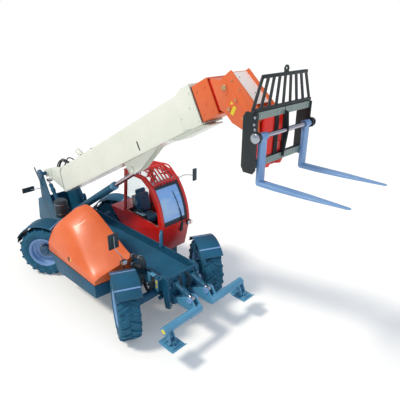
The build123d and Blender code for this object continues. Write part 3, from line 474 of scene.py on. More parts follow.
def ringOfLugs(half):
    # slanted bars from near the centre line to one shoulder, repeated round the tyre
    bmesh.ops.create_cube(bm, size=1)
    long = [e for e in bm.edges if abs((e.verts[0].co - e.verts[1].co).y) > 0.5]
    bmesh.ops.subdivide_edges(bm, edges=long, cuts=5, use_grid_fill=True)
    for v in bm.verts:
        along = v.co.y + 0.5
        y = half * (-0.012 + along * 0.207)
        wide = tyre["lugWide"] * (0.72 + 0.5 * along) * (0.82 if v.co.z > 0 else 1.12)
        turn = (0.25 * half) * math.tau / tyre["lugs"] - tyre["lean"] * along ** 0.75 - v.co.x * wide / 0.58
        top = tyre["radius"] - 0.003 - 0.004 * along - 0.03 * max(0, along - 0.8) / 0.2
        base = tyreSurface(y) - 0.012 - (0.05 if along > 0.97 else 0)
        reach = top if v.co.z > 0 else base
        y = min(tyre["half"], max(-tyre["half"], y))
        v.co = Vector((-reach * math.sin(turn), y, reach * math.cos(turn)))
    bmesh.ops.recalc_face_normals(bm, faces=bm.faces)
    edges = [e for e in bm.edges if e.calc_face_angle(0) > 0.9 and all(v.co.length > 0.57 for v in e.verts)]
    bevel(0.0035, 1, edges=edges, clamp=True)
    steps = tyre["lugs"] - 1
    bmesh.ops.spin(bm, geom=bm.verts[:] + bm.edges[:] + bm.faces[:], cent=(0, 0, 0), axis=(0, 1, 0),
        angle=math.tau * steps / tyre["lugs"], steps=steps, use_duplicate=True)
    return asMesh("lugs")


lugRings = [ringOfLugs(half) for half in (-1, 1)]
for end, side in wheels:
    profile = [(r, -a) for r, a in tyreSide]
    profile += [(tyreSurface(y), y) for y in (-0.12, -0.06, 0, 0.06, 0.12)]
    profile += [(r, a) for r, a in reversed(tyreSide)]
    lathe(profile + [profile[0]], axleWay, steps=84)
    for radius in (0.395, 0.436):
        for face in (-1, 1):
            lathe([(radius - 0.004, 0.19 * face), (radius, 0.1988 * face), (radius + 0.004, 0.19 * face)],
                axleWay, steps=84)
    weld(0.0001)
    for ring in lugRings:
        bm.from_mesh(ring)
    shift(wheelPlace(end, side))
    finish(f"tyreTread.{end}.{side}", rubber, f"wheel_{end}_{side}", "tyre_rubber", smooth=35,
        replaced=[f"tyre_{end}_{side}"])
for ring in lugRings:
    bpy.data.meshes.remove(ring)
print("tyres treaded")

rimProfile = mm("344 -185, 345 -177, 338 -172, 318 -160, 311 -150, 306 -96, 262 -80, 262 60, 304 84, "
    "311 150, 318 160, 338 172, 345 177, 345 185, 336 186, 330 180, 320 173, 303 166, 299 150, "
    "295 100, 286 88, 252 72, 247 64, 245 52, 238 46, 212 50, 200 46, 176 44, 170 34, 146 32, "
    "142 20, 130 -8, 142 -10, 178 20, 238 30, 246 -80, 290 -102, 298 -160, 330 -180, 344 -185")
hubProfile = mm("130 -6, 141 30, 139 44, 136 48, 134 104, 130 110, 104 112, 101 117, 100 128, 92 136, "
    "91 146, 86 150, 46 150, 43 146, 0 146")
for end, side in wheels:
    place = wheelPlace(end, side)
    ride, name = f"wheel_{end}_{side}", f"{end}.{side}"
    lathe(rimProfile, axleWay, steps=72)
    weld(0.0001)
    shift(place)
    finish(f"wheelRim.{name}", rimPaint, ride, "rim_paint", smooth=28, replaced=[f"rim_{end}_{side}"])
    lathe(hubProfile, axleWay, steps=48)
    for i in range(12):
        turn = math.tau * i / 12
        rib = box((-0.006, 0.046, 0.112), (0.006, 0.1, 0.142))
        bmesh.ops.rotate(bm, verts=rib, cent=(0, 0, 0), matrix=Matrix.Rotation(turn, 3, "Y"))
    shift(place)
    finish(f"planetHub.{name}", hubPaint, ride, "rim_paint", smooth=30)
    for count, circle, seat, size in ((10, 0.158, 0.032, 0.026), (12, 0.112, 0.111, 0.013)):  # wheel, hub
        for i in range(count):
            turn = math.tau * (i + 0.5) / count
            spot = Vector((circle * math.sin(turn), seat, circle * math.cos(turn)))
            bolt(spot, (0, 1, 0), size, size * 0.7)
    rod((0, 0.052, 0.222), (0, 0.085, 0.242), 0.006, 10)
    shift(place)
    finish(f"wheelNuts.{name}", zinc, ride, "rim_paint", smooth=30)
print("wheels fitted")

# fenders: rolled lips, the stay across each one, its bolts and the rear flap
fender = {"inner": 0.647, "wall": 0.01, "inboard": -0.245, "outboard": 0.203, "front": (46, 125),
    "rear": (52, 150)}


def onWheel(radius, degreesUp, y):
    a = math.radians(degreesUp)
    return Vector((radius * math.cos(a), y, radius * math.sin(a)))


for end, side in wheels:
    low, high = fender[end]
    place = wheelPlace(end, side)
    ride, name = f"steer_{end}_{side}", f"{end}.{side}"
    crown = fender["inner"] + fender["wall"]
    for y in (fender["inboard"], fender["outboard"]):
        for i in range(16):
            a, b = [low + (high - low) * k / 16 for k in (i, i + 1)]
            rod(onWheel(crown - 0.004, a, y), onWheel(crown - 0.004, b, y), 0.008, 8)
    for angle in (low, high):
        rod(onWheel(crown - 0.004, angle, fender["inboard"]), onWheel(crown - 0.004, angle,
            fender["outboard"]), 0.008, 10)
    shift(place)
    finish(f"fenderLip.{name}", chassisPaint, ride, "fender_paint", smooth=50)
    for angle in (low + 16, high - 22):
        strip = box((-0.014, fender["inboard"] - 0.002, -0.003), (0.014, fender["outboard"] + 0.004, 0.004))
        spin = rotated(90 - angle, "Y")
        shift(move(onWheel(crown + 0.002, angle, 0)) @ spin, strip)
        for y in (-0.2, -0.04, 0.14):
            seat = onWheel(crown + 0.004, angle, y)
            bolt(seat, (seat.x, 0, seat.z), 0.016, 0.008)
    shift(place)
    finish(f"fenderStay.{name}", rimPaint, ride, "fender_paint")
    flap = bmesh.ops.create_grid(bm, x_segments=6, y_segments=8, size=0.5)["verts"]
    for v in flap:
        across, down = v.co.x + 0.5, v.co.y + 0.5
        y = fender["inboard"] + 0.015 + across * (fender["outboard"] - fender["inboard"] - 0.03)
        spot = onWheel(crown - 0.013 - 0.02 * down ** 2, high - 3 + 12 * down, y)
        spot.z -= 0.02 * down
        v.co = spot
    bmesh.ops.solidify(bm, geom=bm.faces[:], thickness=0.005)
    shift(place)
    finish(f"mudFlap.{name}", flapRubber, ride, "fender_paint")
print("fenders finished")

# pod: a rubber seal along the hood, a black pipe as painted shade in the hood-to-tray seam, rear hood band,
# latch and blank plate
hoodInner = mm("-1930 -446 1500, -1640 -446 1787, -1300 -446 1800, -920 -446 1686, -550 -446 1430, "
    "-150 -446 1208")


def ringPipe(name, points, radius):
    # a black rubber pipe along straight runs, with a ball at each joint
    for a, b in zip(points, points[1:]):
        rod(a, b, radius, 10)
    for p in points:
        ball(p, radius, 10, 6)
    finish(name, hoseRubber, recalc=False)


pipeThrough("hoodInnerSeal", hoodInner, 0.01, body="hood")
# painted shade: a thin black pipe darkens the seam between the hood and the tray
trayEdge = mm("-1930 -1202 856, -1640 -1202 848, -210 -1202 787, -120 -440 787")
ringPipe("traySeamShade", trayEdge, 0.006)
tailBand = mm("-1942 -1196 900, -1942 -1190 1050, -1942 -1085 1270, -1942 -1000 1365, -1942 -700 1475, "
    "-1942 -470 1495")
mid = Vector((-1.942, -0.8, 1.15))
outer = [bm.verts.new(p) for p in tailBand]
inner = [bm.verts.new(Vector(p) + (mid - Vector(p)) * 0.05) for p in tailBand]
for a, b, c, d in zip(outer, outer[1:], inner[1:], inner):
    bm.faces.new((a, b, c, d))
bmesh.ops.solidify(bm, geom=bm.faces[:], thickness=0.05)
roundEdges(0.006)
finish("hoodRearBand", tubePaint, "hood")
boxes("hoodLatch", [((-1.12, -1.21, 0.965), (-1.07, -1.196, 1.05))], blackPlastic, "hood", 0.004)
boxes("hoodPlate", [((-1.045, -1.2055, 0.975), (-1.015, -1.199, 1.04))], yellowFilm, "hood",
    slotName="orange_paint")

# intake elbow with its clamps
mergedCopy("intake_elbow")
finish("intakeHose", hoseRubber, smooth=50, replaced=["intake_elbow"], recalc=False)
for a, b in (((0.06, -0.475, 1.252), (0.085, -0.475, 1.258)), ((0.06, -0.484, 1.07),
        (0.085, -0.484, 1.075)), ((0.27, -0.474, 1.302), (0.292, -0.473, 1.307))):
    rod(a, b, 0.052, 28)
finish("intakeClamps", zinc, recalc=False)

# air cleaner canister
cleaner = move((-2.35, -0.6, 0))
profile = mm("0 1340, 128 1340, 141 1352, 144 1372, 144 1420, 140.5 1424, 140.5 1434, 144 1438, "
    "144 1640, 140.5 1644, 140.5 1654, 144 1658, 144 1694, 136 1708, 119 1712, 119 1722, 112 1733, "
    "30 1735, 0 1735")
lathe(profile, cleaner, steps=56)
box((-2.4, -0.6, 1.4), (-2.3, -0.405, 1.48))
box((-2.4, -0.4118, 1.02), (-2.3, -0.4002, 1.5))
finish("airCleaner", blackPlastic, smooth=30, replaced=["air_cleaner"])
for z in (1.424, 1.644):
    lathe([(0.1405, z), (0.1448, z + 0.001), (0.1448, z + 0.009), (0.1405, z + 0.01)], cleaner, steps=56)
finish("cleanerBands", zinc)
print("pod dressed")

# lamps: housings with lenses, amber indicator and wire guards
lampSpots = {"right": ((0.012, -0.758, 1.152), (0.078, -0.622, 1.248)),
    "left": ((-0.058, 1.062, 1.332), (0.008, 1.168, 1.438))}
for side, corners in lampSpots.items():
    low, high = map(Vector, corners)
    box(low, (high.x - 0.012, high.y, high.z))
    bevel(0.012, 3)
    if side == "right":
        rod((0.045, -0.69, 0.975), (0.045, -0.69, 1.155), 0.011)
        rod((0.045, -0.701, 0.985), (0.045, -0.402, 0.985), 0.011)
    finish(f"lampBody.{side}", lampPlastic, replaced=["lamps"] if side == "right" else ())
    near, far, y = (0.034, 0.006, low.y + 0.018) if side == "right" else (0.006, 0.034, high.y - 0.018)
    lens = [((high.x - 0.016, low.y + near, low.z + 0.008), (high.x - 0.003, high.y - far, high.z - 0.008))]
    boxes(f"lampLens.{side}", lens, lampLens, round=0.005, segments=3)
    amber = [((high.x - 0.05, y - 0.014, low.z + 0.012), (high.x - 0.002, y + 0.014, high.z - 0.012))]
    boxes(f"indicator.{side}", amber, amberLens, round=0.005, segments=3)
    middle, out = (low + high) / 2, high.x + 0.012
    hoop = [(low.x + 0.02, low.y - 0.004, high.z - 0.02), (out, low.y - 0.006, high.z + 0.006),
        (out + 0.006, middle.y, high.z + 0.01), (out, high.y + 0.006, high.z + 0.006),
        (out + 0.002, high.y + 0.007, middle.z), (out - 0.002, high.y + 0.006, low.z - 0.004),
        (low.x + 0.02, high.y + 0.004, low.z + 0.02)]
    pipeThrough(f"lampHoop.{side}", hoop, 0.0045, chrome)
print("lamps lit")

# mirrors of the pod and tower with their stalks, and the height flag
box((-0.08, -0.912, 1.496), (-0.05, -0.688, 1.812))
bevel(0.026, 4, clamp=True)
box((-0.052, -0.82, 1.6), (-0.04, -0.78, 1.7))
rear = box((-3.768, -0.845, 1.535), (-3.735, -0.545, 1.66))
bevel(0.012, 3, edges=list({e for v in rear for e in v.link_edges}))
finish("mirrorShells", blackPlastic, replaced=["mirrors"])
mirrorFaces = [((-0.0825, -0.895, 1.512), (-0.079, -0.705, 1.795)),
    ((-3.77, -0.832, 1.548), (-3.767, -0.558, 1.647))]
boxes("mirrorFaces", mirrorFaces, mirrorSilver)
stalk = mm("45 -700 1250, 45 -705 1300, 30 -730 1380, -10 -775 1440, -36 -798 1520, -38 -800 1640, "
    "-38 -800 1760")
pipeThrough("frontMirrorStalk", stalk, 0.008, zinc)
pipeThrough("rearMirrorStalk", mm("-3740 -640 1595, -3715 -610 1592, -3700 -520 1585, -3690 -395 1575"),
    0.008, zinc)
box((-0.026, -0.006, 0), (0.026, 0.006, 0.5))
lean = move((-3.6, -0.408, 1.66)) @ Matrix.Rotation(-0.55, 4, "Y")
bmesh.ops.subdivide_edges(bm, edges=[e for e in bm.edges if e.calc_length() > 0.4], cuts=6)
for v in bm.verts:
    v.co.x -= 0.1 * v.co.z ** 2
shift(lean)
finish("heightFlag", chassisPaint)
print("mirrors hung")

# cab: glass split by pane, rubber seals and black bands
arcX, arcZ, arcRadius = -1.459532, 1.398494, 1.384699  # circle of the windscreen in the side view


def onScreen(y, z, proud=0):
    # a point on the windscreen's outer face, or proud of it
    return Vector((arcX + math.sqrt(arcRadius ** 2 - (z - arcZ) ** 2) - 0.018 + proud, y, z))


def screenBand(name, yLow, yHigh, zLow, zHigh, proud, material=blackPlastic):
    bmesh.ops.create_grid(bm, x_segments=2, y_segments=14, size=0.5)
    for v in bm.verts:
        v.co = onScreen(yLow + (v.co.x + 0.5) * (yHigh - yLow), zLow + (v.co.y + 0.5) * (zHigh - zLow),
            proud)
    bmesh.ops.recalc_face_normals(bm, faces=bm.faces)
    bmesh.ops.solidify(bm, geom=bm.faces[:], thickness=0.004)
    finish(name, material)


def frameSeal(name, points, y, wide, thick, body):
    # a flat rubber frame inside an outline on the side of the cab
    face = bm.faces.new([bm.verts.new((x, y, z)) for x, z in points])
    bmesh.ops.inset_region(bm, faces=[face], thickness=wide, use_even_offset=True, use_boundary=True)
    bmesh.ops.delete(bm, geom=[face], context="FACES_ONLY")
    out = bmesh.ops.extrude_face_region(bm, geom=bm.faces[:])
    bmesh.ops.translate(bm, verts=[g for g in out["geom"] if isinstance(g, bmesh.types.BMVert)],
        vec=(0, thick, 0))
    finish(name, hoseRubber, body, smooth=30)


for name, keep, material in (("sidePanes", lambda c: c.y < 0.46 or c.x < -1.2 or c.z > 2.3, sideGlass),
        ("windscreen", lambda c: c.y > 0.46 and c.x > -0.95 and c.z < 2.3, screenGlass)):
    mergedCopy("cab_glass")
    todo = set(bm.verts)
    while todo:
        island, edge = set(), [todo.pop()]
        while edge:
            v = edge.pop()
            island.add(v)
            fresh = [e.other_vert(v) for e in v.link_edges if e.other_vert(v) in todo]
            todo.difference_update(fresh)
            edge += fresh
        middle = sum((v.co for v in island), Vector()) / len(island)
        if not keep(middle):
            bmesh.ops.delete(bm, geom=list(island), context="VERTS")
    finish(name, material, slotName="clear_glass", replaced=["cab_glass"] if name == "sidePanes" else (),
        recalc=False)

sideWindow = mm("-1330 1500, -190 1440, -240 1800, -470 2230, -700 2380, -1215 2390")
doorWindow = mm("-1190 1440, -270 1440, -275 1560, -500 2150, -640 2300, -1190 2310")
frameSeal("sideWindowSeal", sideWindow, 0.4035, 0.02, 0.024, "chassis")
frameSeal("doorWindowSeal", doorWindow, 1.168, 0.018, 0.0235, "door")
screenBand("screenHeader", 0.472, 1.123, 2.205, 2.262, 0.002)
screenBand("screenSill", 0.472, 1.123, 1.45, 1.548, 0.002)
screenBand("screenEdge.right", 0.472, 0.488, 1.455, 2.26, 0.0025, hoseRubber)
screenBand("screenEdge.left", 1.06, 1.123, 1.455, 2.26, 0.0025)

# wiper: spindle, arm and blade, folded to the right of the glass
spindle = onScreen(0.965, 1.475, 0.004)
rod(spindle, spindle + Vector((0.03, 0, 0.004)), 0.018)
for z0, z1, y0, y1, proud in ((1.475, 1.6, 0.965, 0.953, 0.03), (1.6, 1.75, 0.953, 0.938, 0.028)):
    rod(onScreen(y0, z0, proud), onScreen(y1, z1, proud - 0.004), 0.007, 10, 0.006)
for i in range(8):
    z0, z1 = 1.5 + i * 0.075, 1.5 + (i + 1) * 0.075
    rod(onScreen(0.962 - i * 0.009, z0, 0.013), onScreen(0.962 - (i + 1) * 0.009, z1, 0.013), 0.006, 8)
    rod(onScreen(0.962 - i * 0.009, z0, 0.004), onScreen(0.962 - (i + 1) * 0.009, z1, 0.004), 0.003, 6)
for z in (1.62, 1.88):
    rod(onScreen(0.946, z, 0.01), onScreen(0.944, z, 0.026), 0.006, 8)
finish("wiper", hoseRubber)

# wiper motor cover and slotted vents under the screen
cover = box((-0.115, 0.93, 1.2), (-0.085, 1, 1.44))
for v in cover:
    v.co.x = -0.1 + 0.095 * (v.co.z - 1.2) / 0.24 * 0.25 + (0.012 if v.co.x > -0.1 else -0.02)
bevel(0.006)
for i in range(5):
    y = 0.5 + i * 0.05
    box((-0.128, y, 1.385), (-0.084, y + 0.034, 1.4))
finish("noseTrim", blackPlastic)

# door handle, grab rail, hinge pins and drip rails
rod((-0.42, 1.1935, 1.33), (-0.36, 1.1935, 1.33), 0.01)
box((-0.44, 1.188, 1.28), (-0.32, 1.196, 1.38))
bevel(0.003, edges=[e for e in bm.edges if e.calc_length() > 0.02], clamp=True)
finish("doorHandle", blackPlastic, "door")
rail = mm("-520 1140 1460, -520 1105 1500, -560 1100 1800, -620 1105 2050, -630 1140 2100")
pipeThrough("doorGrabRail", rail, 0.01, blackPlastic, "door")
for z in (1, 1.9):
    rod((-1.28, 1.206, z - 0.047), (-1.28, 1.206, z + 0.047), 0.007, 12)
    for x in (-1.235, -1.215):
        bolt((x, 1.2035, z), (0, 1, 0), 0.012, 0.005)
finish("doorHingePins", zinc)
for y, name in ((0.401, "right"), (1.1945, "left")):
    points = [(-1.3, y, 2.462), (-0.66, y, 2.428), (-0.44, y, 2.31)]
    pipeThrough(f"dripRail.{name}", points, 0.006, redPaint)

# black panels over the inside of the walls and floor, darkening the cab inside; glazed strip over the
# screen, guard feet, corner flange and front mirror
innerDarkPanels = [((-1.318, 0.428, 0.8), (-0.245, 0.432, 1.435)), ((-1.318, 0.432, 0.784), (-0.262, 1.16, 0.79)),
    ((-1.3155, 0.432, 0.8), (-1.31, 1.16, 1.455)), ((-1.22, 1.16, 0.83), (-0.3, 1.164, 1.425))]
boxes("cabInnerDarkPanels", innerDarkPanels, blackPlastic)
rake = math.atan2(0.15, 0.22)
box((0.006, 0.474, 0), (0.088, 1.121, 0.0035))
shift(move((-0.4, 0, 2.2905)) @ Matrix.Rotation(rake, 4, "Y") @ rotated(180, "Z") @ move((0, -1.595, 0)))
finish("foreheadGlass", roofGlass)
for k in range(8):
    y = 0.495 + k * 0.605 / 7
    rod((-0.3525, y, 2.347), (-0.369, y, 2.272), 0.0155, 16, 0.013)
finish("guardFeet", redPaint)
outlinePlate(mm("300 1078, 399.5 1078, 399.5 1418, 330 1418, 300 1360"), 0.012, move((-0.067, 0, 0)) @ pane)
roundEdges(0.003)
finish("cabCornerFlange", tubePaint)
for z in (1.14, 1.26, 1.36):
    bolt((-0.055, 0.355, z), (1, 0, 0), 0.019, 0.009)
finish("cabCornerBolts", zinc)
stalk = mm("-405 1165 2265, -330 1215 2360, -180 1240 2405, 20 1245 2440")
pipeThrough("doorMirrorStalk", stalk, 0.007, blackPlastic)
boxes("doorMirrorShell", [((0.005, 1.195, 2.325), (0.04, 1.3, 2.59))], blackPlastic, round=0.012,
    segments=3)
boxes("doorMirrorFace", [((0.0035, 1.207, 2.337), (0.006, 1.288, 2.578))], mirrorSilver,
    slotName="lamp_plastic")
print("cab glazed")

# inside the cab: steering wheel, instrument panel, levers and console with its pale plate
wheelSeat = move((-0.52, 0.7975, 1.48)) @ rotated(-33.7, "Y")
lathe([(0.17 + 0.0145 * math.cos(a), 0.0145 * math.sin(a)) for a in [math.tau * k / 12 for k in range(13)]],
    wheelSeat, steps=48)
lathe(mm("0 -12, 45 -12, 50 0, 44 14, 0 18"), wheelSeat, steps=28)
for k in range(3):
    a = math.tau * k / 3 + 0.5
    rod(wheelSeat @ Vector((0.04 * math.cos(a), 0.04 * math.sin(a), 0)), wheelSeat
        @ Vector((0.165 * math.cos(a), 0.165 * math.sin(a), 0)), 0.012, 10, 0.009)
weld(0.00005)
column = mm("-330 1050, -275 1300, -262 1385, -330 1415, -445 1360, -445 1250, -385 1180, -400 810, "
    "-360 810")
outlinePlate(column, 0.62, move((0, 1.11, 0)) @ xz)
roundEdges(0.008)
rod((-0.4, 0.7975, 1.3), (-0.512, 0.7975, 1.47), 0.025)
finish("dashPanel", blackPlastic, replaced=["dashboard"])
for y in (0.62, 0.7, 0.79, 0.88):
    dial = move((-0.392, y, 1.392)) @ Matrix.Rotation(-0.45, 4, "Y")
    lathe(mm("0 6, 24 6, 30 10, 34 6, 34 -4"), dial, steps=24)
for y in (0.5, 0.54, 0.98, 1.02, 1.06):
    box((-0.405, y, 1.386), (-0.375, y + 0.022, 1.4))
finish("dashDials", lampPlastic, smooth=30)
boxes("sideConsole", [((-1.16, 0.455, 1.2), (-0.74, 0.555, 1.5))], blackPlastic, round=0.014, segments=3)
boxes("consolePlate", [((-1.03, 0.458, 1.4995), (-0.77, 0.548, 1.506))], palePanel, round=0.002)
for x, y, tall in ((-0.8, 0.5, 0.16), (-0.86, 0.5, 0.12), (-0.7, 1.07, 0.14)):
    rod((x, y, 1.5 if y < 1 else 1.3), (x + 0.02, y, 1.5 + tall), 0.006, 12)
    ball((x + 0.02, y, 1.5 + tall), 0.02, stretch=1.3)
finish("cabLevers", hoseRubber)
print("cab fitted out")

# seat: simulated cushions on a moulded shell
seat = {"x": -1, "y": 0.7975, "fill": 0.62, "pressure": 4, "cap": 0.01, "voxel": 0.012}


def cushion(name, place, size, piping):
    bmesh.ops.create_cube(bm, size=1)
    bmesh.ops.scale(bm, vec=size, verts=bm.verts)
    bevel(min(size) * 0.36, 3)
    shift(place)
    pad = asObject(name)
    remesh = pad.modifiers.new("evenCloth", "REMESH")
    remesh.mode = "VOXEL"
    remesh.voxel_size = seat["voxel"]
    even = baked(pad)
    pad.modifiers.clear()
    pad.data = even
    start = [v.co.copy() for v in pad.data.vertices]
    cloth = pad.modifiers.new("fill", "CLOTH")
    cloth.settings.use_pressure = True
    cloth.settings.uniform_pressure_force = seat["pressure"]
    cloth.settings.effector_weights.gravity = 0
    cloth.settings.tension_stiffness = 40
    cloth.point_cache.frame_end = 16
    for step in range(1, 17):
        bpy.context.scene.frame_set(step)
    swollen = baked(pad)
    pad.modifiers.clear()
    pad.data = swollen
    for v, first in zip(pad.data.vertices, start):
        moved = v.co - first
        if moved.length > seat["cap"]:
            v.co = first + moved * (seat["cap"] / moved.length)
    bpy.context.scene.frame_set(1)
    bm.from_mesh(pad.data)
    turned = place.inverted()
    for v in bm.verts:  # sewn channels across the pad
        local = turned @ v.co
        if abs(local.z) > size[2] * 0.25:
            for groove in piping:
                pull = 0.007 * math.exp(-((local.x - groove) / 0.01) ** 2)
                v.co -= (place.to_3x3() @ Vector((0, 0, math.copysign(pull, local.z))))
    bmesh.ops.smooth_vert(bm, verts=bm.verts, factor=0.3, use_axis_x=True, use_axis_y=True, use_axis_z=True)
    bpy.data.objects.remove(pad)
    piece = finish(name, seatCloth, "chassis", "seat_fabric", smooth=70)
    soft = piece.modifiers.new("soft", "SUBSURF")
    soft.levels = soft.render_levels = 1
    return piece


lay = move((seat["x"] + 0.02, seat["y"], 1.3))
cushion("seatCushion", lay, (0.43, 0.43, 0.085), (-0.07, 0.07))
lean = move((seat["x"] - 0.205, seat["y"], 1.585)) @ rotated(-101, "Y")
cushion("seatBack", lean, (0.44, 0.41, 0.085), (-0.08, 0.06))
head = move((seat["x"] - 0.262, seat["y"], 1.855)) @ rotated(-98, "Y")
cushion("seatHeadrest", head, (0.115, 0.26, 0.075), ())
box((-1.2, 0.575, 1.225), (-0.775, 1.02, 1.262))
backShell = box((-0.035, -0.205, 0), (0, 0.205, 0.44))
shift(move((-1.222, 0.7975, 1.345)) @ rotated(-11, "Y"), backShell)
box((-1.14, 0.655, 1.1), (-0.86, 0.94, 1.228))
box((-1.15, 0.648, 0.806), (-0.85, 0.947, 0.86))
bevel(0.008)
for i in range(7):
    low = 0.86 + i * 0.034
    wide = 0.132 - (i % 2) * 0.012
    box((-1 - wide, 0.7975 - wide, low), (-1 + wide, 0.7975 + wide, low + 0.034))
for side in (-1, 1):
    rod((-1.262, 0.7975 + side * 0.07, 1.765), (-1.266, 0.7975 + side * 0.07, 1.83), 0.008, 12)
finish("seatFrame", blackPlastic, replaced=["seat"])
rests = [((-1.16, y - 0.03, 1.475), (-0.9, y + 0.03, 1.52)) for y in (0.5355, 1.0595)]
boxes("armRests", rests, hoseRubber, round=0.016, segments=3)
print("seat padded")


# boom: side slots, bolts of flare and collar, wiper frame, canister, hose loops and top pipes
boom = {"pivot": (-3.6, 0, 1.96), "angle": 28}
onBoom = move(boom["pivot"]) @ rotated(-boom["angle"], "Y")


def alongBoom(name, material, body="boom"):
    shift(onBoom)
    finish(name, material, body)


for side in (-1, 1):
    box((3.902, side * 0.2205 - 0.0012, -0.565), (3.935, side * 0.2205 + 0.0012, -0.392))
bevel(0.012, 4, edges=[e for e in bm.edges if e.calc_length() < 0.003])
alongBoom("boomSideSlots", hoseRubber)
for side in (-1, 1):
    for along, across in ((5.195, -0.427), (5.434, -0.342), (5.521, -0.572), (5.521, -0.15)):
        bolt((along, side * 0.232, across), (0, side, 0), 0.02, 0.009)
    for along in (5.4, 5.5):
        bolt((along, side * 0.13, -0.03), (0, 0, 1), 0.02, 0.01)
alongBoom("flareBolts", creamPaint)
for side in (-1, 1):
    for along, across in ((5.66, -0.19), (5.84, -0.19), (5.66, -0.53), (5.84, -0.53)):
        bolt((along, side * 0.21, across), (0, side, 0), 0.02, 0.008)
    rod((5.75, side * 0.2095, -0.4), (5.75, side * 0.216, -0.4), 0.026)
alongBoom("collarBolts", orangePaint, "boom_second")
box((5.5795, -0.2115, -0.6165), (5.592, 0.2115, -0.0835))
roundEdges(0.0015)
ends = [f for f in bm.faces if abs(f.normal.x) > 0.9 and f.calc_area() > 0.05]
bmesh.ops.inset_individual(bm, faces=ends, thickness=0.006)
bmesh.ops.delete(bm, geom=ends, context="FACES")
alongBoom("collarWipers", hoseRubber, "boom_second")
start, end = Vector((1.488, -0.06, 0.13)), Vector((1.64, -0.06, -0.052))
length = (end - start).length
place = facing(start, end)
lathe([(0, 0), (0.03, 0.003), (0.05, 0.016), (0.06, 0.038), (0.061, length - 0.07), (0.052, length - 0.05),
    (0.052, length - 0.01), (0, length)], place)
lathe(mm("60.5 55, 63.5 57, 63.5 71, 60.5 73"), place)
alongBoom("boomCanister", creamPaint)

loops = mm("300 20 -30, 420 30 60, 600 20 130, 800 0 85, 980 -20 -20, 1100 -30 -55")
for n, (y, lift, lead) in enumerate(((-0.135, 0, 0), (-0.095, 0.018, 0.03), (-0.055, -0.01, -0.04),
        (0.06, 0.01, 0.05))):
    run = [onBoom @ Vector((s + lead * (0 < i < 5), y + sway, t + lift * (1 < i < 5))) for i,
        (s, sway, t) in enumerate(loops)]
    pipeThrough(f"boomHose.{n}", run, 0.015, body="boom", order=4)
for n, y in enumerate((-0.135, -0.105, -0.075)):
    run = [onBoom @ Vector((s, y, -0.058)) for s in (1.08, 1.25, 1.42)]
    run += [onBoom @ Vector((1.6 + 0.02 * n, y - 0.03, -0.058)), onBoom @ Vector((2.4, y - 0.03, -0.058))]
    pipeThrough(f"boomTopPipe.{n}", run, 0.008, creamPaint, "boom")
for s in (1.12, 1.8, 2.3):
    box((s - 0.015, -0.19, -0.0755), (s + 0.015, -0.06, -0.047))
roundEdges(0.004)
alongBoom("boomPipeClamps", blackPlastic)

# pivot caps on the tower, then the lift cylinder's gland
for side in (-1, 1):
    face = side * 0.425
    place = facing((-3.6, face, 1.96), (-3.6, face + side * 0.02, 1.96))
    lathe(mm("0 14, 30 14, 34 10, 60 10, 66 6, 112 6, 116 0"), place, steps=48)
    for k in range(6):
        a = math.tau * k / 6
        bolt((-3.6 + 0.092 * math.cos(a), face + side * 0.006, 1.96 + 0.092 * math.sin(a)), (0, side, 0),
            0.02, 0.009)
finish("pivotCaps", hubPaint, slotName="chassis_paint")


def gland(name, foot, eye, y, seat, radius, rodRadius, body, coat=chassisPaint):
    # screwed gland ring and wiper lip, seat being how far along the barrel its face sits
    lathe([(radius + 0.0015, seat - 0.085), (radius + 0.007, seat - 0.08), (radius + 0.007, seat - 0.008),
        (radius + 0.002, seat + 0.0015), (rodRadius + 0.012, seat + 0.0015),
        (rodRadius + 0.008, seat + 0.007), (rodRadius + 0.001, seat + 0.007)],
        facing((foot[0], y, foot[1]), (eye[0], y, eye[1])))
    finish(name, coat, body)


gland("liftGland", (-3, 1), (-0.2872, 2.7588), 0, 2.33, 0.0775, 0.044, "lift_barrel", tubePaint)
print("boom dressed")

# boom head: pin caps, keeper plate, pale top plate and stickers
for side in (-1, 1):
    for x, z, radius, face in ((1.99, 4.56, 0.045, 0.212), (2.09, 4.29, 0.03, 0.212),
            (2.2, 4.42, 0.022, 0.212), (2.5, 4.09, 0.066, 0.22)):
        place = facing((x, side * face, z), (x, side * (face + 0.02), z))
        lathe([(0, 0.01), (radius * 0.34, 0.01), (radius * 0.42, 0.006), (radius * 0.78, 0.006),
            (radius * 0.9, 0)], place, steps=36)
    bolt((2.33, side * 0.2, 4.2), (0, side, 0), 0.022, 0.01)
    bolt((2.25, side * 0.2, 4.56), (0, side, 0), 0.016, 0.008)
    bolt((2.12, side * 0.2, 4.66), (0, side, 0), 0.016, 0.008)
finish("headPinCaps", goldZinc, "boom_third")
keeper = mm("1930 4600, 1955 4625, 2035 4600, 2055 4520, 2030 4455, 1985 4470, 2005 4520, 1985 4575")
outlinePlate(keeper, 0.006, move((0, -0.1995, 0)) @ xz)
roundEdges(0.002)
finish("headKeeperPlate", orangePaint, "boom_third", smooth=35)
# a near-white plate across the top of the head, paler than the cream boom
run = Vector((2.56, 0, 4.31)) - Vector((2.05, 0, 4.76))
length = run.length
topPlace = move((2.05, 0, 4.76)) @ Matrix.Rotation(math.atan2(-run.z, run.x), 4, "Y")
box((0.012, -0.176, -0.002), (length * 0.82, 0.176, 0.0008))
shift(topPlace)
finish("headTopPlate", paleEnamel, "boom_third", "boom_paint")
for along, across in ((0.1, -0.05), (0.38, 0.03), (0.42, 0.06)):
    rod((along, across, 0), (along, across, 0.0018), 0.01)
shift(topPlace)
finish("headTopPlugs", blackPlastic, "boom_third")


def sticker(name, middle, way, wide, tall, turned=0, body="chassis"):
    # a blank yellow vinyl square stuck on a panel
    box((-wide / 2, -tall / 2, -0.0004), (wide / 2, tall / 2, 0.001))
    bevel(0.006, 3, edges=[e for e in bm.edges if e.calc_length() < 0.002])
    shift(move(middle) @ aimed(way) @ rotated(turned, "Z"))
    finish(name, yellowFilm, body)


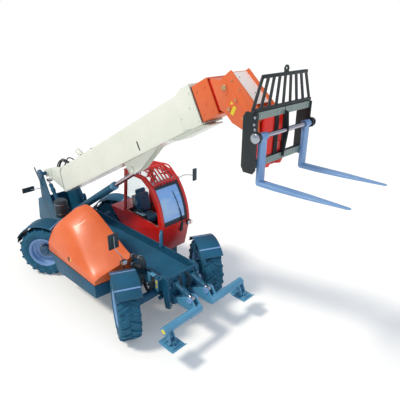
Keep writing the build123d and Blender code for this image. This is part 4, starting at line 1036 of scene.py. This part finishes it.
sticker("headSticker", (2.163, -0.2004, 4.278), (0, -1, 0), 0.056, 0.125, -26, "boom_third")
sticker("headSticker.top", (2.13, -0.2004, 4.372), (0, -1, 0), 0.036, 0.036, -26, "boom_third")

# fork frame: lighter beam faces, bolted end plates, polished shaft caps
for low, high in ((4.312, 4.398), (3.722, 3.808)):
    for side in (-1, 1):
        ends = sorted((side * 0.588, side * 0.008))
        box((2.8348, ends[0], low), (2.8368, ends[1], high))
box((2.777, -0.588, 4.3996), (2.784, 0.588, 4.402))
finish("beamFaces", greyPaint, "carriage", "carriage_paint")
for side in (-1, 1):
    for x, z in ((2.828, 4.345), (2.822, 4.262), (2.835, 4.205)):
        bolt((x, side * 0.615, z), (0, side, 0), 0.022, 0.008)
    for y, z in ((0.52, 3.765), (0.3, 3.765), (0.52, 4.355), (0.16, 4.355)):
        bolt((2.8366, side * y, z), (1, 0, 0), 0.018, 0.007)
finish("carriageBolts", zinc, "carriage")
for side in (-1, 1):
    place = facing((2.87, side * 0.66, 4.113), (2.87, side * 0.7, 4.113))
    lathe(mm("0 4, 26 4, 30 2, 52 2, 57 0, 60 -4"), place)
finish("shaftCaps", zinc, "carriage")
print("head and fork frame dressed")

# chassis front: slotted brackets, valve block, hoses, plain stickers, stabilizer dressing
outlinePlate(mm("520 -478, 660 -478, 660 -392, 520 -392"), 0.01, move((0, 0, 1.062)))
outlinePlate(mm("475 780, 560 780, 560 1060, 530 1100, 475 1100"), 0.01, move((0, -0.462, 0)) @ xz)
outlinePlate(mm("700 800, 780 800, 780 1058, 700 1058"), 0.01, move((0, -0.47, 0)) @ xz)
roundEdges(0.003)
finish("valveBrackets", tubePaint, smooth=35)
box((0.6, -0.47, 0.86), (0.69, -0.402, 1.03))
for x in (0.62, 0.645, 0.67):
    rod((x, -0.436, 1.03), (x, -0.436, 1.052), 0.012, 12)
    rod((x, -0.47, 0.9), (x, -0.488, 0.9), 0.011, 12)
    rod((x, -0.47, 0.97), (x, -0.488, 0.97), 0.011, 12)
roundEdges(0.002, segments=1)
finish("valveBlock", iron, smooth=35)
sticker("valveSticker", (0.74, -0.4802, 0.985), (0, -1, 0), 0.05, 0.08)
sticker("valveSticker.low", (0.74, -0.4802, 0.885), (0, -1, 0), 0.045, 0.06)
for n, (x, z, drop) in enumerate(((0.62, 0.9, 0.2), (0.645, 0.97, 0.25), (0.67, 0.9, 0.16),
        (0.62, 0.97, 0.12))):
    run = [(x, -0.485, z), (x, -0.53, z), (x - 0.04, -0.55, z - drop), (x - 0.16, -0.5, z - drop - 0.03),
        (x - 0.34, -0.44, z - drop + 0.02), (x - 0.44, -0.405, z - drop + 0.05)]
    pipeThrough(f"valveHose.{n}", run, 0.011, order=4)
for side, name in ((-1, "right"), (1, "left")):
    for z in (0.5, 0.57, 0.92):
        bolt((0.985 if z < 0.6 else 0.97, side * 0.362, z), (1, 0, 0 if z < 0.6 else 0.03), 0.024, 0.01)
    for y, z in ((0.3, 0.99), (0.3, 0.56), (0.05, 1.02), (0.05, 0.52)):
        bolt((0.92, side * y, z), (1, 0, 0), 0.022, 0.009)
    finish(f"frontPlateBolts.{name}", zinc)
    for n, (lift, low) in enumerate(((1.03, 0.72), (1, 0.68))):
        run = [(0.918, side * (0.085 + 0.035 * n), lift), (0.965, side * (0.085 + 0.035 * n), lift + 0.01),
            (1.01, side * (0.09 + 0.03 * n), lift - 0.1), (1.005, side * (0.085 + 0.03 * n), low + 0.06),
            (0.96, side * (0.08 + 0.03 * n), low), (0.918, side * (0.08 + 0.03 * n), low)]
        pipeThrough(f"stabilizerHose.{name}.{n}", run, 0.012, order=4)
    arm = f"stab_arm_{name}"
    for y, way in ((0.28, 1), (0.14, -1)):
        place = facing((1.4, side * y, 0.82), (1.4, side * (y + way * 0.02), 0.82))
        lathe(mm("0 14, 22 14, 28 18, 56 18, 64 10, 64 0"), place)
    finish(f"stabilizerEyeCaps.{name}", forkPaint, arm, "chassis_paint")
    place = facing((1.53, side * 1.012, 0.66), (1.53, side * 1.03, 0.66))
    lathe(mm("0 12, 70 12, 77.5 8, 77.5 -12, 74.5 -15"), place, steps=48)
    lathe(mm("76.5 -600, 80 -596, 80 -580, 76.5 -576"), place, steps=48)
    finish(f"stabilizerCaps.{name}", tubePaint, arm)
    sticker(f"stabilizerSticker.{name}", (1.53, side * 1.0242, 0.66), (0, side, 0), 0.078, 0.078, 30, arm)
    for y in (0.868, 1.002):
        outlinePlate(mm("1505 590, 1585 600, 1640 515, 1622 500, 1560 565"), 0.012,
            move((0, side * y + 0.006, 0)) @ xz)
    roundEdges(0.002)
    for y in (0.858, 1.012):
        bolt((1.655, side * y, 0.47), (0, side * (1 if y > 0.9 else -1), 0), 0.026, 0.006)
    finish(f"stabilizerGussets.{name}", tubePaint, arm, smooth=35)
    for x in (-0.11, 0.11):
        outlinePlate(mm("-145 0, 145 0, 50 20, -50 20"), 0.01, move((1.655 + x - 0.005, side * 0.935,
            0.4315)) @ pane)
    roundEdges(0.002)
    finish(f"padRibs.{name}", tubePaint, f"stab_pad_{name}")
    gland(f"stabilizerGland.{name}", (0.975, 0.93), (1.4, 0.82), side * 0.21, 0.262, 0.049, 0.026,
        f"stab_barrel_{name}")
    gland(f"compGland.{name}", (-3.02, 1.34), (-3.4, 1.85), side * 0.315, 0.4, 0.046, 0.024, "comp_barrels")

# trough and rear: hose bundle, lamps, tow pin, tank cap and steps
for n, y in enumerate((-0.33, -0.3, -0.27, -0.24)):
    lift = 0.012 * (n % 2)
    run = [(-2.9, y, 0.925 + lift), (-2, y, 0.922 + lift), (-1.2, y + 0.01, 0.926 + lift),
        (-0.4, y, 0.922 + lift), (0.6, y, 0.924 + lift)]
    pipeThrough(f"troughHose.{n}", run, 0.014)
clamps = [((x - 0.02, -0.352, 0.9), (x + 0.02, -0.222, 0.954)) for x in (-2.5, -1.7, -0.9, -0.1, 0.5)]
boxes("troughClamps", clamps, blackPlastic, round=0.004)
tail = move((-4.0148, 0, 0.9)) @ rotated(9.87, "Y") @ Matrix.Rotation(-math.pi / 2, 4, "Y")
for side in (-1, 1):
    box((-0.05, side * 0.305 - 0.05, 0), (0.16, side * 0.305 + 0.05, 0.022))
box((0.12, -0.17, 0), (0.26, 0.17, 0.006))
roundEdges(0.005)
shift(tail)
finish("tailLampCases", lampPlastic)
for name, material, low in (("tailLens.red", redLens, 0.092), ("tailLens.amber", amberLens, 0.026),
        ("tailLens.clear", lampLens, -0.04)):
    for side in (-1, 1):
        box((low, side * 0.305 - 0.04, 0.021), (low + 0.058, side * 0.305 + 0.04, 0.03))
    bevel(0.003)
    shift(tail)
    finish(name, material, slotName="lamp_plastic")
rod((-4.078, 0, 0.64), (-4.078, 0, 0.85), 0.0145)
rod((-4.078, 0, 0.822), (-4.078, 0, 0.832), 0.026)
ball((-4.078, 0, 0.862), 0.022, 20, 12)
finish("towPin", zinc)
place = move((-1.2, 1.02, 0.738))
lathe(mm("0 30, 40 30, 48 24, 48 4, 56 0, 56 -6"), place)
for x in (-0.9, -0.52):
    outlinePlate([(x - 0.13, 1), (x + 0.13, 1), (x + 0.13, 1.125), (x - 0.13, 1.125)], 0.004,
        move((0, 0, 0.739)))
finish("tankFittings", blackPlastic)
for k in range(7):
    for x in (-0.9, -0.52):
        rod((x - 0.12, 1.01 + k * 0.017, 0.7445), (x + 0.12, 1.01 + k * 0.017, 0.7445), 0.003, 8)
finish("stepTreads", zinc, smooth=45)

# top of the engine, its pulleys and the bolts of the axle covers
box((-1.42, -0.99, 1.079), (-0.72, -0.68, 1.135))
for k in range(9):
    box((-1.38 + k * 0.075, -0.965, 1.134), (-1.365 + k * 0.075, -0.705, 1.145))
bevel(0.004, clamp=True)
rod((-1.1, -0.62, 1.08), (-1.1, -0.62, 1.2), 0.045)
rod((-0.9, -0.62, 1.08), (-0.9, -0.62, 1.2), 0.045)
finish("engineTop", hubPaint, slotName="engine_iron")
for y, z, radius in ((-0.8, 0.7, 0.105), (-0.66, 0.93, 0.06), (-0.94, 0.95, 0.05)):
    place = facing((-0.64, y, z), (-0.6, y, z))
    lathe([(0, 0.05), (radius * 0.3, 0.05), (radius * 0.3, 0.036), (radius, 0.034), (radius * 0.9, 0.022),
        (radius, 0.01), (radius, 0)], place)
finish("enginePulleys", iron)
for axleX in running["axleX"].values():
    for k in range(12):
        a = math.tau * k / 12
        for side in (-1, 1):
            bolt((axleX + 0.143 * math.cos(a), side * 0.07, 0.597 + 0.143 * math.sin(a)), (0, side, 0),
                0.018, 0.008)
finish("axleBolts", zinc)
print("chassis dressed")


# floor, light and camera

floorMaterial, tree, surface, place = startMaterial("studioFloor", Base_Color=linear("f4f4f2"),
    Roughness=0.9, Emission_Color=(1, 1, 1, 1))
path = addNode(tree, "LightPath")
seen = addNode(tree, "Math", {0: path.outputs["Is Camera Ray"]}, operation="MULTIPLY")
seen.inputs[1].default_value = 0.12
tree.links.new(seen.outputs["Value"], surface.inputs["Emission Strength"])
bmesh.ops.create_grid(bm, x_segments=1, y_segments=1, size=60)
floor = asObject("studioFloor")
floor.data.materials.append(floorMaterial)

world = bpy.data.worlds.new("studio")
bpy.context.scene.world = world
world.use_nodes = True
tree = world.node_tree
backdrop = tree.nodes["Background"]
backdrop.inputs["Color"].default_value = linear("dfe8f4")
backdrop.inputs["Strength"].default_value = 0.62
plainWhite = addNode(tree, "Background", Color=(1, 1, 1, 1), Strength=1)
path = addNode(tree, "LightPath")
direct = addNode(tree, "Math", {0: path.outputs["Is Camera Ray"], 1: path.outputs["Is Transmission Ray"]},
    operation="MAXIMUM").outputs["Value"]
choose = addNode(tree, "MixShader", {0: direct, 1: backdrop.outputs["Background"],
    2: plainWhite.outputs["Background"]})
tree.links.new(choose.outputs["Shader"], tree.nodes["World Output"].inputs["Surface"])

for name, way, strength, spread, colour in (("sunKey", (-0.45, -0.75, 1.15), 2.3, 12, "fff6e8"),
        ("frontFill", (1, 0.1, 0.55), 0.5, 60, "dfeaff")):
    lamp = bpy.data.lights.new(name, "SUN")
    lamp.energy = strength
    lamp.angle = math.radians(spread)
    lamp.color = linear(colour)[:3]
    holder = bpy.data.objects.new(name, lamp)
    holder.rotation_euler = Vector(way).to_track_quat("Z", "Y").to_euler()
    link(holder)

camera = bpy.data.cameras.new("camera")
camera.lens = 36.45
camera.sensor_width = 36
camera.clip_end = 200
eye = bpy.data.objects.new("camera", camera)
stand, aim, roll = Vector((5.5912, -4.431, 5.3351)), Vector((0.5588, 0.8528, 2.1638)), 0.0074
look = (aim - stand).to_track_quat("-Z", "Y").to_matrix().to_4x4()
eye.matrix_world = move(stand) @ look @ Matrix.Rotation(roll, 4, "Z")
link(eye)
bpy.context.scene.camera = eye
bpy.context.scene.view_settings.view_transform = "Standard"
print("camera and light set")
